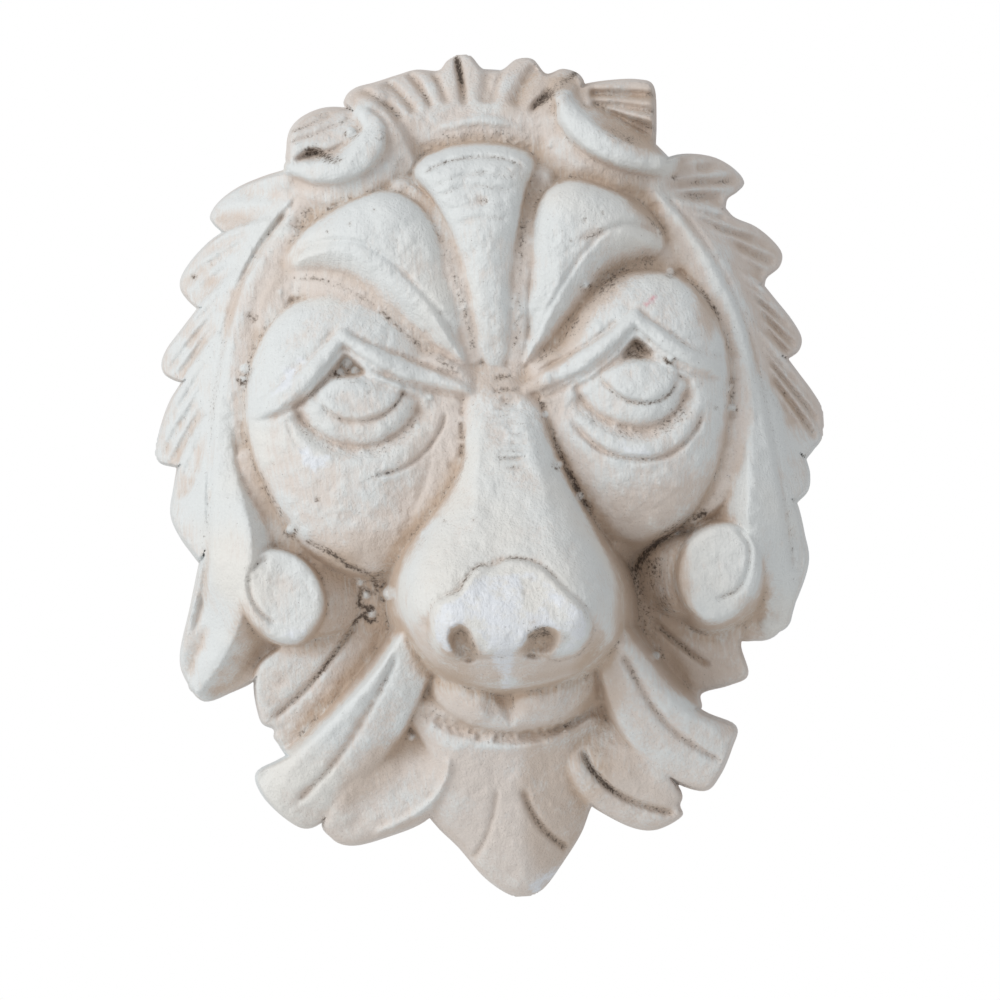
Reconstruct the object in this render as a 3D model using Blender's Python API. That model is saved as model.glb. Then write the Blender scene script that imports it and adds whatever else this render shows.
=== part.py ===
"""A lion head wall mask, cast in plaster in one piece.

The mask faces -Y and its flat back lies in the plane y = 0, with the origin in the middle of the back.
Its carving is drawn in shares, from the front: u runs to the right, v up and h out of the wall. Each
feature below adds its rolls, pads and grooves to one relief, whose outline is cut at the back.
"""

import bmesh
import bpy
import numpy as np

# Driving dimensions, in metres
MASK_HEIGHT = 0.2017  # from the tip of the beard to the top of the tuft
NOSE_STAND_OFF = 0.075  # from the wall to the front of the nose
RIM_THICKNESS = 0.004  # how far the outer edge stands off the wall before the carving rises
VIEW_DISTANCE = 0.400  # from the wall to the eye that the face is drawn for

# The drawing is so many shares tall and deep, seen from an eye at this share of its height
DRAWN_HEIGHT = 201.7
DRAWN_DEPTH = 74.9
SHARE = MASK_HEIGHT / DRAWN_HEIGHT
DEPTH_SHARE = NOSE_STAND_OFF / DRAWN_DEPTH
EYE_LEVEL = -5.0
RIM_SHARE = RIM_THICKNESS / DEPTH_SHARE

# The field that the drawing fills, and the grid that it is carved on
LEFT_REACH, RIGHT_REACH, LOWER_REACH, UPPER_REACH = 86.0, 84.0, 104.0, 106.0
GRID_STEP = 0.65
NOTHING = -30.0
EDGE_WALL = 12.0  # how steeply a part that ends at the outline falls off
EDGE_SLOPE = 25.0  # how steeply the outline itself falls to the wall
SOFTENING = 0.4
SURFACE_TRIANGLES = 11400
SMALLEST_EDGE = 2e-5

PLASTER_COLOUR = (0.70, 0.66, 0.60, 1.0)
PLASTER_ROUGHNESS = 0.82

# The shell behind everything: its middle, half width and half height, and its level and rise
SHELL_MIDDLE = (-2, 12)
SHELL_HALVES = (68, 86)
SHELL_LEVEL = 12
SHELL_RISE = 10

# Levels of the carving, in shares off the wall
LOCK_LEVEL = 25.5
LEAF_LEVELS = [(-50, 10), (-40, 17), (-28, 24), (-5, 25)]
BEARD_LEAF_LEVELS = [(-86, 15), (-76, 22.5), (-68, 26), (-58, 24)]
STRAND_LEVELS = [(-80, 20), (-60, 33), (-45, 40), (-33, 44)]
STRAND_RADIUS = 11.5
MOUND_LEVEL = 32
MOUND_RISE = 14
MOUND_WALL = 90
BROW_LEVEL = 34.5
BROW_RISE = 8.5
LIP_LEVEL = 39.2
SCROLL_LEVEL = 40

# The carving, feature by feature, in shares
FLOORS = (
    ([(-19, 69.5), (-12, 62), (-7, 48), (-4.2, 30)], [3, 3, 2.5, 2], [32.5, 38.5, 40, 38]),
    ([(13.5, 70), (10, 62), (7.3, 48), (5.6, 29)], [3, 3, 2.5, 2], [32.5, 38.5, 40, 38]),
    (
        [(-49, 50), (-40, 49.5), (-28, 43), (-16, 33.5), (-7.5, 26)],
        [3.5, 4.5, 4.5, 3.5, 2.5],
        [30, 35.5, 38, 38, 36],
    ),
    (
        [(45, 51), (37, 49.5), (28, 44.5), (18, 35), (10, 27)],
        [3.5, 4.5, 4, 3, 2.5],
        [29, 32.5, 34.5, 36.5, 36],
    ),
    ([(-41, 67.5), (-32, 69.5), (-22, 74), (-17, 79)], [4, 4.5, 4, 3], [27, 30, 30, 27]),
    ([(39, 67), (30, 71), (21, 74), (15, 79)], [3.5, 4, 4, 3], [26, 29, 29.5, 27]),
    (
        [(-47, 60), (-55, 47), (-58.5, 34), (-60, 20), (-60, 4)],
        [3, 4, 4, 4, 4.5],
        [28.5, 30, 30.5, 30, 28],
    ),
    (
        [(44, 60), (51.5, 47), (56, 34), (58.5, 20), (59, 6)],
        [3, 4, 4, 4, 4.5],
        [28, 29.5, 30, 30, 28],
    ),
    ([(-44, 64), (-48, 58), (-52, 50), (-53.5, 43)], [3, 3.5, 3.5, 3], [27, 28.5, 29.5, 29]),
    ([(-49, 49), (-51, 45), (-52.5, 40)], [2.5, 3, 2.5], [31, 31.5, 31.5]),
    ([(41, 63), (45, 57), (49, 49), (51, 42)], [3, 3, 3, 3], [25.5, 27, 27.5, 27.5]),
    ([(-59, 8), (-55.5, -3), (-51, -9), (-44, -14)], [3, 4, 4.5, 4], [31, 33, 34, 33]),
    ([(58, 22), (57, 8), (52, -3), (45, -9)], [3.5, 4.5, 4.5, 4], [31.5, 33.5, 34, 33]),
    ([(-19, 77), (-21.5, 83), (-25, 89)], [3, 3, 3], [30, 31, 27]),
    ([(-61, -6), (-63, -20), (-64, -34)], [4, 6, 5], [24, 24, 18]),
    ([(60, -4), (61, -18), (59, -32)], [4, 6, 5], [24, 24, 18]),
)
MANE = {
    "left": {
        "roots": [(-43, 72), (-49, 66), (-56, 57), (-62.5, 43), (-66.5, 24), (-69.5, 0)],
        "edges": [
            [
                (-45.5, 77), (-52, 75.4), (-58, 73.2), (-62.6, 70.2), (-65, 67), (-64.4, 64.9),
                (-62.4, 62.8),
            ],
            [
                (-62.4, 62.8), (-66, 60.4), (-70, 56.6), (-72.7, 52.8), (-73.1, 49.8),
                (-71.6, 47.2), (-69.4, 44.9),
            ],
            [
                (-69.4, 44.9), (-73.8, 39.8), (-77, 36), (-78.6, 32.6), (-78.2, 30),
                (-76.2, 28.4), (-74.2, 27.6),
            ],
            [
                (-74.2, 27.6), (-77.2, 23.3), (-79.5, 18), (-81.4, 11.6), (-80.3, 8.7),
                (-76.4, 7.4),
            ],
            [(-76.4, 7.4), (-77.4, 3), (-78.6, -3.4), (-76.8, -9), (-72.6, -15.5)],
        ],
        "ribs": 3.5,
        "rib_depth": 0.9,
        "tilt": 2.6,
    },
    "right": {
        "roots": [(36, 70), (42.5, 65), (49, 55.5), (55.5, 42.5), (61.5, 25), (66.5, 0)],
        "edges": [
            [
                (41.8, 73.6), (48, 75), (55, 74), (60, 71), (62.4, 67.6), (60.8, 65.5),
                (58.3, 63.9), (57.6, 61.6),
            ],
            [
                (57.6, 61.6), (59.8, 59.1), (64.4, 56.8), (68.2, 53.4), (70.4, 50), (69.6, 46.9),
                (66.6, 44.6), (65.8, 42.6),
            ],
            [(65.8, 42.6), (68.6, 38.7), (71.8, 34.2), (73.9, 29.8), (73.1, 26.7), (70.4, 24.9)],
            [(70.4, 24.9), (73, 21), (76, 16.4), (78, 12), (77.6, 6), (75.2, 2.8), (73.4, 0.8)],
            [(73.4, 0.8), (74.1, -3), (73.4, -6.8), (70.6, -9.5)],
        ],
        "ribs": 4.5,
        "rib_depth": 2.1,
        "tilt": 3.8,
    },
}
BANDS = {
    "left": {
        "spine": [
            (-41, 71), (-50, 60.5), (-56.8, 48.5), (-61.6, 34), (-64.2, 18), (-65.2, 2),
            (-65, -12), (-66.5, -24), (-70, -35), (-74.5, -44.5),
        ],
        "halves": [1.6, 2.2, 2.5, 2.4, 2.6, 3.6, 5.6, 5.6, 4.6, 2.2],
        "levels": [26, 27.5, 29, 29.5, 30, 31.5, 36.5, 37.5, 27, 19],
        "leans": [0, 0, 0, 0, 0, 1, 3.5, 5, 5, 1],
        "leaf": [
            (-62, -6), (-69.5, -6), (-72.4, -15.5), (-75.2, -26), (-78.3, -37.5), (-77, -43.8),
            (-73.2, -48.6), (-66, -46.6), (-60.4, -43.8), (-55, -36), (-56, -20),
        ],
        "line": [
            (-46, 68), (-54.4, 57.6), (-60.6, 46), (-64.5, 33), (-67.2, 20), (-69, 5), (-70, -10),
            (-72, -23), (-75, -33),
        ],
    },
    "right": {
        "spine": [
            (40, 68), (46.5, 59), (52, 48), (56.5, 36), (60.2, 22), (62.8, 8), (63.6, -5),
            (63.8, -16), (65.5, -26), (63.8, -36),
        ],
        "halves": [1.5, 1.9, 2.1, 2.3, 2.6, 3.4, 4.4, 5.4, 5.2, 4.0],
        "levels": [26, 27.5, 29, 29, 29.5, 31.5, 36, 37.5, 31, 21],
        "leans": [0, 0, 0, 0, 0, -1, -3, -4, -4, 0],
        "leaf": [
            (60, 0), (68, -4), (70.6, -9.5), (72, -17), (72.5, -24.3), (68.2, -34.5), (63.4, -41),
            (57, -41.2), (52, -36), (52, -20),
        ],
        "line": [
            (42, 67), (49.3, 57.2), (54.8, 45.5), (59.4, 33.5), (63.2, 21), (65.8, 8), (67.4, -5),
            (68.6, -18), (69.2, -27),
        ],
    },
}
TUFT = {
    "outline": [
        (-22, 84), (-30.8, 90.3), (-31.2, 93.2), (-28.6, 95.3), (-24, 96.3), (-18.6, 97.7),
        (-14, 98.7), (-8.8, 98.2), (-6.6, 100.3), (-4, 101.7), (-1, 101.3), (1.4, 98.3),
        (4.4, 97.1), (7, 97.8), (10, 99.8), (13.8, 99.6), (16.8, 96), (21, 96.9), (25, 95),
        (25, 91), (18, 82), (0, 76),
    ],
    "levels": [(78, 27), (85, 27), (89, 25.5), (94, 20), (98, 15.5), (102, 12)],
    "flutes": [
        ((-17.5, 86.5), (-27.5, 94.8), 1.5, 2.3),
        ((-14.5, 88), (-21.6, 96.5), 1.2, 2.2),
        ((-10.6, 89), (-16.2, 98.2), 1.2, 2.3),
        ((-7, 90), (-10.4, 98.2), 1.1, 2.0),
        ((-2.9, 89), (-4.3, 101.6), 1.2, 3.2),
        ((1.8, 89.5), (3.2, 97.5), 2.2, 2.2),
        ((3.4, 89.5), (6.6, 97.6), 1.1, 1.8),
        ((8.6, 88.4), (14.6, 97.8), 2.2, 2.8),
        ((12, 86.8), (24.8, 96.2), 1.2, 3.2),
        ((16, 85.5), (24.8, 92.3), 0.9, 1.5),
    ],
    "fillet": [(-14.5, 81.8), (-7.5, 84.6), (-0.5, 85.6), (6.8, 84.5), (13.2, 81.4)],
    "groove": [(-15.5, 79.2), (-8, 81.6), (-0.5, 82.7), (6.8, 81.6), (13.2, 78.6)],
}
LOW_LEAVES = {
    "pads": [
        (
            [
                (-30, -20), (-50, -34), (-60.3, -42), (-60.2, -53.5), (-57, -56.3), (-56.6, -59),
                (-50, -64), (-30, -50),
            ],
            [(-64, 14), (-52, 19), (-40, 24), (-25, 28)],
        ),
        (
            [(-74, -44), (-70.5, -47.6), (-61, -44.4), (-52, -37), (-60, -24), (-68, -26)],
            [(-48, 13), (-38, 17), (-28, 21)],
        ),
        (
            [
                (28, -22), (45, -32), (55.6, -37), (55.3, -43), (56.6, -49.8), (52, -52),
                (45.3, -53.6), (44.6, -57.5), (36, -58), (26, -42),
            ],
            [(-60, 13), (-50, 17.5), (-40, 21), (-25, 24)],
        ),
        (
            [(52, -40.5), (62.8, -41), (68.5, -33.5), (66, -22), (58, -22), (52, -32)],
            [(-42, 14), (-34, 19), (-24, 24)],
        ),
    ],
    "veins": [
        [(-35, -31), (-41, -38.5), (-48, -46.3), (-58, -54.5)],
        [(34, -35), (39, -40), (44, -44.5), (48, -47.5)],
    ],
}
EARS = {
    "left": {
        "shell": [
            (-29, 90.4), (-36, 91), (-41.5, 89.3), (-44.8, 86.3), (-45.9, 82), (-45.6, 77.3),
            (-38, 72), (-28, 73), (-20, 78), (-18, 84), (-22, 89.5),
        ],
        "level": [(72, 30), (81, 30), (86, 28), (91, 22)],
        "wall": [(-45, 74.5), (-38, 72.2), (-29, 73.2), (-22.2, 78), (-19.8, 84)],
        "wall_levels": [27, 30, 31.5, 31.5, 27],
        "hollow": [
            (-44, 79), (-40.5, 81.6), (-36, 81), (-32, 82.4), (-28.6, 81.6), (-30.4, 78.8),
            (-37, 77.8),
        ],
        "depth": 3.5,
        "slope": 1.8,
        "ribs": [
            [(-45.5, 83.2), (-40, 84.6), (-34, 86.6), (-30, 88.6)],
            [(-45, 85.6), (-40, 87.2), (-34.5, 89.4)],
        ],
        "rib_width": 0.8,
        "rib_depth": 0.8,
        "rim": [
            (-45.2, 77.4), (-38.5, 75.9), (-31.5, 77), (-26.6, 80.5), (-24.9, 85), (-27, 88.8),
        ],
        "halves": [1.6, 2.4, 2.9, 3.1, 3.0, 1.8],
        "rim_levels": [30.5, 34, 35.8, 36.2, 34.5, 29.5],
    },
    "right": {
        "shell": [
            (22, 91), (25.5, 92.9), (32, 93.6), (38.6, 93.4), (42.2, 91.6), (42.4, 84),
            (41.6, 76), (40, 71), (30, 72), (22, 78),
        ],
        "level": [(71, 29), (80, 29), (86, 27), (93, 21)],
        "wall": [(17.5, 85), (20, 80), (25, 75.2), (32, 71.6), (40.5, 69.5)],
        "wall_levels": [27, 29.5, 30.5, 29.5, 26],
        "hollow": [
            (25, 87.4), (30, 86.8), (36, 84.2), (42.4, 81), (42.4, 75.8), (36, 77.4), (30, 80.8),
            (25.8, 84.4),
        ],
        "depth": 12.0,
        "slope": 3.4,
        "ribs": [
            [(24.5, 91), (33, 90.9), (43, 89.7)],
            [(25.2, 89.7), (33.5, 88.4), (43, 85.4)],
            [(26.5, 88.4), (34, 86), (43, 81.2)],
        ],
        "rib_width": 1.3,
        "rib_depth": 2.6,
        "rim": [(20.6, 89.4), (22.6, 84.8), (27.4, 79.9), (33.4, 76.3), (41.4, 73.4)],
        "halves": [1.7, 2.4, 2.5, 2.4, 1.9],
        "rim_levels": [30.5, 34.2, 35.6, 35.2, 32.2],
    },
}
BEARD = {
    "chin": [
        (-25, -50), (-21, -64), (-21.5, -77), (-19.5, -81.5), (-14.5, -87), (-9, -94.2),
        (-3.5, -98.6), (0.5, -99.6), (5, -97.8), (10, -91.8), (14.6, -85.3), (17.2, -79.5),
        (20, -74), (21, -64), (25, -50), (0, -44),
    ],
    "chin_levels": [(-100, 10), (-90, 16), (-80, 21.5), (-70, 27), (-62, 31.5), (-50, 34)],
    "chin_grooves": [
        ([(-4.6, -73), (-5.8, -79), (-8, -85), (-11.8, -90.5)], 0.9, 1.2),
        ([(1.3, -73.5), (3, -79), (6.5, -84.5), (11.8, -89.3)], 1.3, 2.2),
    ],
    "leaves": [
        {
            "outline": [
                (-32, -60), (-46, -77), (-44.6, -83), (-39.5, -85), (-31, -83.3), (-22.5, -80.3),
                (-17, -75), (-14.5, -69.5), (-15.3, -64.3), (-20, -58),
            ],
            "vein": [(-15.8, -65), (-16.6, -70), (-20, -75.3), (-27, -79.8), (-35, -82.6)],
            "width": 1.3,
            "depth": -1.8,
        },
        {
            "outline": [
                (26, -58), (38.3, -75), (38.6, -80), (38.8, -82.6), (33, -85.3), (27.5, -84.7),
                (21, -81.2), (16, -77.2), (12.7, -71), (13.3, -66), (17, -61),
            ],
            "vein": [(16, -64.5), (18, -70), (23, -75.6), (30, -79.5), (38, -82)],
            "width": 1.2,
            "depth": 2.4,
        },
    ],
    "hollow": [
        (-19.5, -69), (-24, -76), (-33, -79.8), (-41, -82), (-40, -74), (-29, -62), (-21, -58),
    ],
}
MOUSTACHES = {
    "left": {
        "outline": [
            (-23, -33), (-31, -42.5), (-40, -51.5), (-50, -60.3), (-56, -63.5), (-61.8, -66.5),
            (-60.5, -72), (-55, -78), (-50, -80.3), (-44, -77), (-34, -68.3), (-26.5, -59),
            (-20, -47.5), (-16, -38),
        ],
        "crest": [(-20, -34), (-27, -43.5), (-33.5, -53.3), (-41.5, -64), (-52, -75), (-57, -80)],
        "roll": [(-25.5, -37), (-34, -47.5), (-44, -57.5), (-56.5, -68.6)],
        "groove": [(-26, -39), (-30.5, -47), (-36, -55.6), (-43, -65), (-53.4, -74.8)],
    },
    "right": {
        "outline": [
            (24, -32), (31, -41.5), (38, -51), (45.5, -57.8), (53, -61.8), (51.8, -67),
            (48.5, -73.5), (44.6, -76.8), (37, -74), (30, -68.5), (24.5, -59), (21.5, -48),
            (18, -38),
        ],
        "crest": [(20, -34), (24.5, -43.5), (30, -56), (37, -65), (46, -71.5), (53, -76)],
        "roll": [(25, -37), (31.5, -47), (39, -56.5), (51, -63.5)],
        "groove": [(26.5, -42), (29.6, -48.5), (34, -56.8), (40.5, -64.2), (50, -70.6)],
    },
}
MOUNDS = {
    "left": {
        "centre": (-33.6, 13.2),
        "half_width": 24.8,
        "half_height": 34.3,
        "turn": 11,
        "squareness": 2.15,
    },
    "right": {
        "centre": (34.0, 15.8),
        "half_width": 22.0,
        "half_height": 32.4,
        "turn": -8,
        "squareness": 2.2,
    },
}
INNER_SLOPES = (
    (
        [(-14, 26), (-9.5, 22), (-10.5, 12), (-11, 4), (-15, -5), (-22, -15)],
        [4.5, 5, 5, 4.5, 4, 4],
        [41, 41.5, 42.5, 43, 43, 39],
    ),
    (
        [(16, 25), (12, 21), (13.5, 12), (16, 3), (19.5, -5), (24.5, -15)],
        [4.5, 5, 5, 4.5, 4, 4],
        [40.5, 41, 41.5, 40.5, 38, 33],
    ),
)
BROWS = {
    "left": {
        "outline": [
            (-3.8, 28.5), (-6.3, 42), (-9.8, 58), (-15, 66.5), (-22.5, 70), (-32, 68),
            (-41, 62.8), (-46.4, 58.2), (-48, 54.6), (-46, 51.8), (-40, 50.6), (-33.5, 47.8),
            (-22, 37.8), (-12, 28.8), (-7, 25.8),
        ],
        "crease": [
            (-45.5, 56.6), (-41.5, 58.6), (-36, 59.4), (-29, 58), (-22, 53), (-16, 46.3),
            (-11, 39.6), (-7, 31.5),
        ],
        "crack": [
            (-48, 51), (-40, 50.2), (-33.5, 47.5), (-27, 43), (-22, 37.8), (-17, 33.2), (-12, 29),
            (-7, 25.5),
        ],
    },
    "right": {
        "outline": [
            (6, 26.5), (8.2, 40), (10.5, 58), (14.5, 67.3), (21, 70), (29, 68), (37, 63),
            (41.8, 57.4), (42.6, 53.8), (40.8, 51.4), (36, 50.3), (30, 47.6), (24, 41.5),
            (16, 32.5), (9.5, 26.5),
        ],
        "crease": [
            (43, 54.8), (39.5, 57.6), (34.5, 59.2), (29, 58), (23.5, 53.2), (18, 46.2),
            (13.2, 38), (9.2, 30),
        ],
        "crack": [(42, 50.5), (36, 49.8), (30, 46.6), (24, 40.6), (16.5, 32), (9.5, 26.3)],
    },
}
WEDGE = {
    "outline": [
        (1, 26.5), (-2.4, 29), (-4, 38), (-5.6, 50), (-8.6, 61), (-12.6, 69), (-15.4, 73.4),
        (-14, 76.6), (-8, 79.3), (-1, 80.2), (6, 79.3), (11.2, 76.8), (12.4, 73.8), (10.4, 69),
        (8.2, 60), (6.4, 50), (5.2, 38), (4.2, 29),
    ],
    "levels": [(27, 36.5), (40, 38), (60, 37.5), (80, 32.5)],
    "crowns": [(27, 2), (40, 4), (60, 6.5), (75, 7)],
    "radii": [(27, 2.5), (40, 4), (60, 7), (75, 8)],
    "arcs": [
        ([(-14.5, 73.6), (-9, 76.2), (-1, 77.2), (6, 76.3), (11.5, 73.3)], 1.2),
        ([(-10.6, 68.4), (-3, 70.5), (7.6, 68.6)], 0.65),
        ([(-7, 61.6), (0, 62.8), (5.6, 61.8)], 0.5),
    ],
}
SCROLLS = {
    "left": {
        "end": [
            (-63.3, -23), (-61.5, -17.5), (-56.5, -13.6), (-50.5, -14.6), (-45.5, -19),
            (-43.2, -25.5), (-44.6, -31.5), (-49.5, -35.6), (-56, -34.6), (-61.5, -29.5),
        ],
        "roll": [(-50, -25), (-39, -24.5), (-31, -24)],
        "roll_levels": [36, 32, 24],
        "curl": [(-55, -14.3), (-60, -17.8), (-60.9, -23), (-58.5, -28.3), (-54, -31.8)],
    },
    "right": {
        "end": [
            (61, -23), (59.3, -17), (54.5, -13.8), (48, -14.7), (43.2, -19), (41.2, -26),
            (43.2, -33), (48.3, -36.8), (55, -34.7), (59.8, -29.5),
        ],
        "roll": [(48, -25.5), (37, -26), (30, -27)],
        "roll_levels": [37, 32, 22],
        "curl": [(55.5, -14.3), (58.5, -18.5), (58.3, -24), (55.5, -29.3), (49.5, -31.6)],
    },
}
EYES = {
    "left": {
        "lid": [
            (-59, 18.6), (-53, 21.4), (-46.5, 25.6), (-40.6, 31), (-35.6, 36.2), (-35.2, 36.2),
            (-29.5, 32.4), (-21.5, 28), (-13, 24.6), (-6, 21.8), (-3, 20.6),
        ],
        "lid_halves": [1.6, 2.6, 2.5, 2.1, 1.7, 1.7, 2.1, 2.3, 2.1, 1.6, 0.9],
        "arm_lines": [
            ([(-57.5, 17), (-51, 18.6), (-45, 22), (-40, 26.4), (-36.8, 30)], 0.8, 0.9),
            ([(-33.5, 37.2), (-28.5, 34.2), (-21, 30.8), (-12.5, 27), (-6, 24.6)], 0.7, 0.9),
            ([(-30, 28.6), (-20.5, 24), (-12, 21.4), (-5.5, 19.6)], 0.7, 0.8),
        ],
        "opening": [
            (-48.5, 20.5), (-46, 15.4), (-42, 11.9), (-37, 9.6), (-32, 8.7), (-27, 9.6),
            (-22, 12.3), (-18.4, 16), (-16.8, 20.5), (-21, 23), (-28, 26.4), (-35.4, 31.5),
            (-40, 27.4), (-44.5, 23.4),
        ],
        "lower": [
            (-48.6, 19.8), (-45.5, 15), (-42, 11.9), (-37, 9.6), (-32, 8.7), (-27, 9.6),
            (-22, 12.3), (-18.4, 16), (-16.6, 20),
        ],
        "lens": [
            (-41.8, 23.6), (-40, 19.2), (-36, 16.6), (-31, 16.3), (-26, 17.8), (-22.6, 21),
            (-21.6, 24), (-26, 26.2), (-31, 27), (-37.5, 26.4),
        ],
        "iris_line": [
            (-41.8, 22), (-39.6, 18.6), (-35.6, 16.2), (-31, 15.9), (-26, 17.4), (-22.4, 20.8),
            (-21.4, 23.8),
        ],
        "folds": [
            ([(-49.8, 17.5), (-48, 12), (-45, 8.6)], 0.8, 0.7),
            (
                [
                    (-30.5, 2.9), (-24.5, 3.5), (-19.5, 6), (-15.5, 9.6), (-12.6, 14),
                    (-11.6, 17.6),
                ],
                0.8,
                1.3,
            ),
        ],
        "pocket": [
            (-38.4, 27), (-36.8, 29.6), (-35.2, 32.4), (-32, 30), (-30, 27.8), (-33, 26.4),
            (-36, 26.6),
        ],
        "pocket_depth": 3.0,
    },
    "right": {
        "lid": [
            (3, 19.4), (7, 21), (14, 24), (22, 27.8), (29, 32.2), (34.4, 36.8), (34.8, 36.8),
            (38.8, 33.2), (43.8, 29.2), (49.4, 26), (56, 23.6),
        ],
        "lid_halves": [0.9, 1.7, 2.3, 2.4, 2.1, 1.7, 1.7, 2.1, 2.4, 2.5, 1.8],
        "arm_lines": [
            ([(8, 17.4), (15.5, 20.4), (22.5, 24), (29, 28.4), (34, 33)], 0.7, 0.8),
            ([(10, 25), (17, 28), (25, 32.4), (31.5, 37.6)], 0.8, 0.9),
            ([(42, 33.4), (46.5, 29.6), (51.5, 27), (55.6, 26.2)], 0.9, 1.2),
            ([(37.4, 29.4), (42.5, 25.4), (48.5, 22.4), (55.5, 20.6)], 0.7, 0.8),
        ],
        "opening": [
            (18.6, 21), (22, 15), (26, 12), (31, 9.8), (36, 9.3), (41, 11), (45, 14.5),
            (47.8, 20.6), (43.6, 24.2), (38.5, 28), (34.4, 32), (29, 28), (23.4, 23.8),
        ],
        "lower": [
            (18.6, 20), (22, 15), (26, 12), (31, 9.8), (36, 9.3), (41, 11), (45, 14.6),
            (47.6, 20),
        ],
        "lens": [
            (25.6, 23.8), (28.2, 20.2), (32, 17.5), (37, 16.6), (41.2, 18.2), (44, 21.8),
            (43.4, 24.6), (40, 26.2), (34, 26.4), (29, 25.6),
        ],
        "iris_line": [
            (24.8, 23.8), (27.8, 20), (31.8, 17.1), (37, 16.2), (41.4, 17.8), (44.2, 21.6),
        ],
        "folds": [
            (
                [
                    (17.6, 14), (22, 8.2), (27, 4.7), (33, 3.1), (39, 3.2), (44, 5.6), (48, 10),
                    (50.4, 15.5),
                ],
                1.0,
                1.7,
            ),
        ],
        "pocket": [(30.6, 27), (34.4, 32.2), (38.8, 28.2), (36.4, 26.6), (33, 26.8)],
        "pocket_depth": 2.8,
    },
}
MOUTH = {
    "lip": [
        (-18.5, -44), (-18.8, -50), (-15, -55), (-8, -58.6), (0, -60), (8, -59), (15, -56.2),
        (20, -51.5), (20.5, -44), (10, -40), (-10, -40),
    ],
    "cushions": [
        [(-14.5, -46), (-14.8, -52), (-11, -56.4), (-6, -57.4), (-4.4, -51), (-7, -45)],
        [(1.5, -46), (1.2, -56.5), (7, -57.6), (12.6, -55), (14.8, -49), (12, -45)],
    ],
    "furrow": [(-6, -47.5), (0.4, -47.5), (0.5, -53), (0, -59.2), (-1.4, -58), (-3.6, -53)],
    "line": [
        (-21.8, -53), (-16, -57.5), (-8, -60.2), (0, -61.2), (8, -60.8), (15.5, -58.4),
        (22.4, -54.2),
    ],
    "lower_lip": [
        (-20.5, -56.6), (-12, -61.4), (-3, -63.5), (6, -63.3), (13, -61.2), (18.5, -58.2),
    ],
}
MUZZLE = {
    "outline": [
        (-4.5, 27), (-7.4, 18), (-8.3, 7), (-12, -1.5), (-19, -10.5), (-23.8, -17.5),
        (-25.4, -26), (-23.8, -33.5), (-20, -40.8), (-15, -45.4), (-8, -48.6), (0, -49.8),
        (8, -49.2), (16, -46.8), (22, -42.8), (25.8, -38), (27, -31), (26, -23), (21.5, -12),
        (16.8, -2), (13, 9), (10.5, 19), (6.5, 27.5),
    ],
    "ridge": [
        (-52, 57), (-46, 66), (-40, 71), (-34, 73), (-28, 71.7), (-20, 67.3), (-10, 60.5),
        (0, 54), (10, 48.5), (20, 42.5), (28, 37),
    ],
    "rim": [
        (-51, 46), (-40, 49), (-30, 49), (-20, 46), (-10, 43), (0, 41.5), (10, 41), (20, 39),
        (28, 36.5),
    ],
    "radius": [(-51, 9), (-40, 12), (-20, 13), (-10, 10.5), (0, 8.5), (10, 7.5), (28, 7)],
    "pad": [
        (-7.6, -21.6), (-5.8, -20.1), (-2.6, -20.4), (0.2, -19.1), (3, -18.9), (5.8, -19.6),
        (9.1, -21.2), (11.5, -23.6), (14.3, -26.9), (17.2, -29.7), (19.5, -32.5), (20.2, -35.8),
        (19.3, -39.2), (16.7, -42), (12.4, -43.4), (7.6, -42.6), (3, -41.6), (-3, -41.8),
        (-8.4, -42.2), (-12.5, -42.2), (-15.6, -41.3), (-17.8, -39), (-18.8, -35.8), (-18.5, -32),
        (-17.2, -28.8), (-14.2, -26.9), (-11, -25.7), (-9.6, -23.6),
    ],
    "valley": [
        (-17.6, -29), (-19.8, -33), (-19.6, -38), (-17, -42.4), (-12.5, -44), (-7, -44.6),
        (0, -45), (6, -45), (12, -44.8), (17.6, -42.8), (20.8, -39.4), (21.6, -35.6), (20.4, -31),
    ],
    "nostrils": [
        (
            [
                (-14.2, -37.6), (-13.4, -34.8), (-11, -33.8), (-9.2, -35.2), (-8.2, -38.4),
                (-7.4, -41.8), (-9.4, -43.2), (-12.4, -41.6),
            ],
            6.0,
            2.2,
        ),
        (
            [
                (3.2, -40.6), (4.8, -37.4), (7.8, -35.6), (10.8, -35.8), (12, -38), (10.6, -41.2),
                (7.6, -43), (4.4, -42.8),
            ],
            6.0,
            3.0,
        ),
        ([(-9, -35), (-5.6, -37.4), (-4.8, -41), (-7, -42.4), (-8.6, -39)], 1.0, 2.2),
        ([(11, -36.6), (15.2, -37.6), (16.4, -40.6), (12, -42.4), (9.4, -41.2)], 1.5, 2.0),
    ],
}


def curve(points, closed=False, steps=6):
    """Points along a smooth line through the given ones."""
    knots = np.array(points, float)
    if closed:
        knots = np.vstack([knots[-1:], knots, knots[:2]])
    else:
        knots = np.vstack([2 * knots[0] - knots[1], knots, 2 * knots[-1] - knots[-2]])
    t = np.linspace(0, 1, steps, endpoint=False)[:, None]
    spans = []
    for before, start, end, after in zip(knots[:-3], knots[1:-2], knots[2:-1], knots[3:]):
        leave = (end - before) / 2
        arrive = (after - start) / 2
        bend = 3 * (end - start) - 2 * leave - arrive
        settle = 2 * (start - end) + leave + arrive
        spans.append(start + leave * t + bend * t**2 + settle * t**3)
    spans.append(knots[-2:-1])
    return np.vstack(spans)


def between(value, pairs):
    """Smooth reading from pairs of place and height."""
    marks = curve(pairs)
    return np.interp(value, marks[:, 0], marks[:, 1])


def spread(share, values):
    """Smooth reading from evenly spaced values, at a share of the way along."""
    return between(share, list(zip(np.linspace(0, 1, len(values)), values)))


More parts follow.
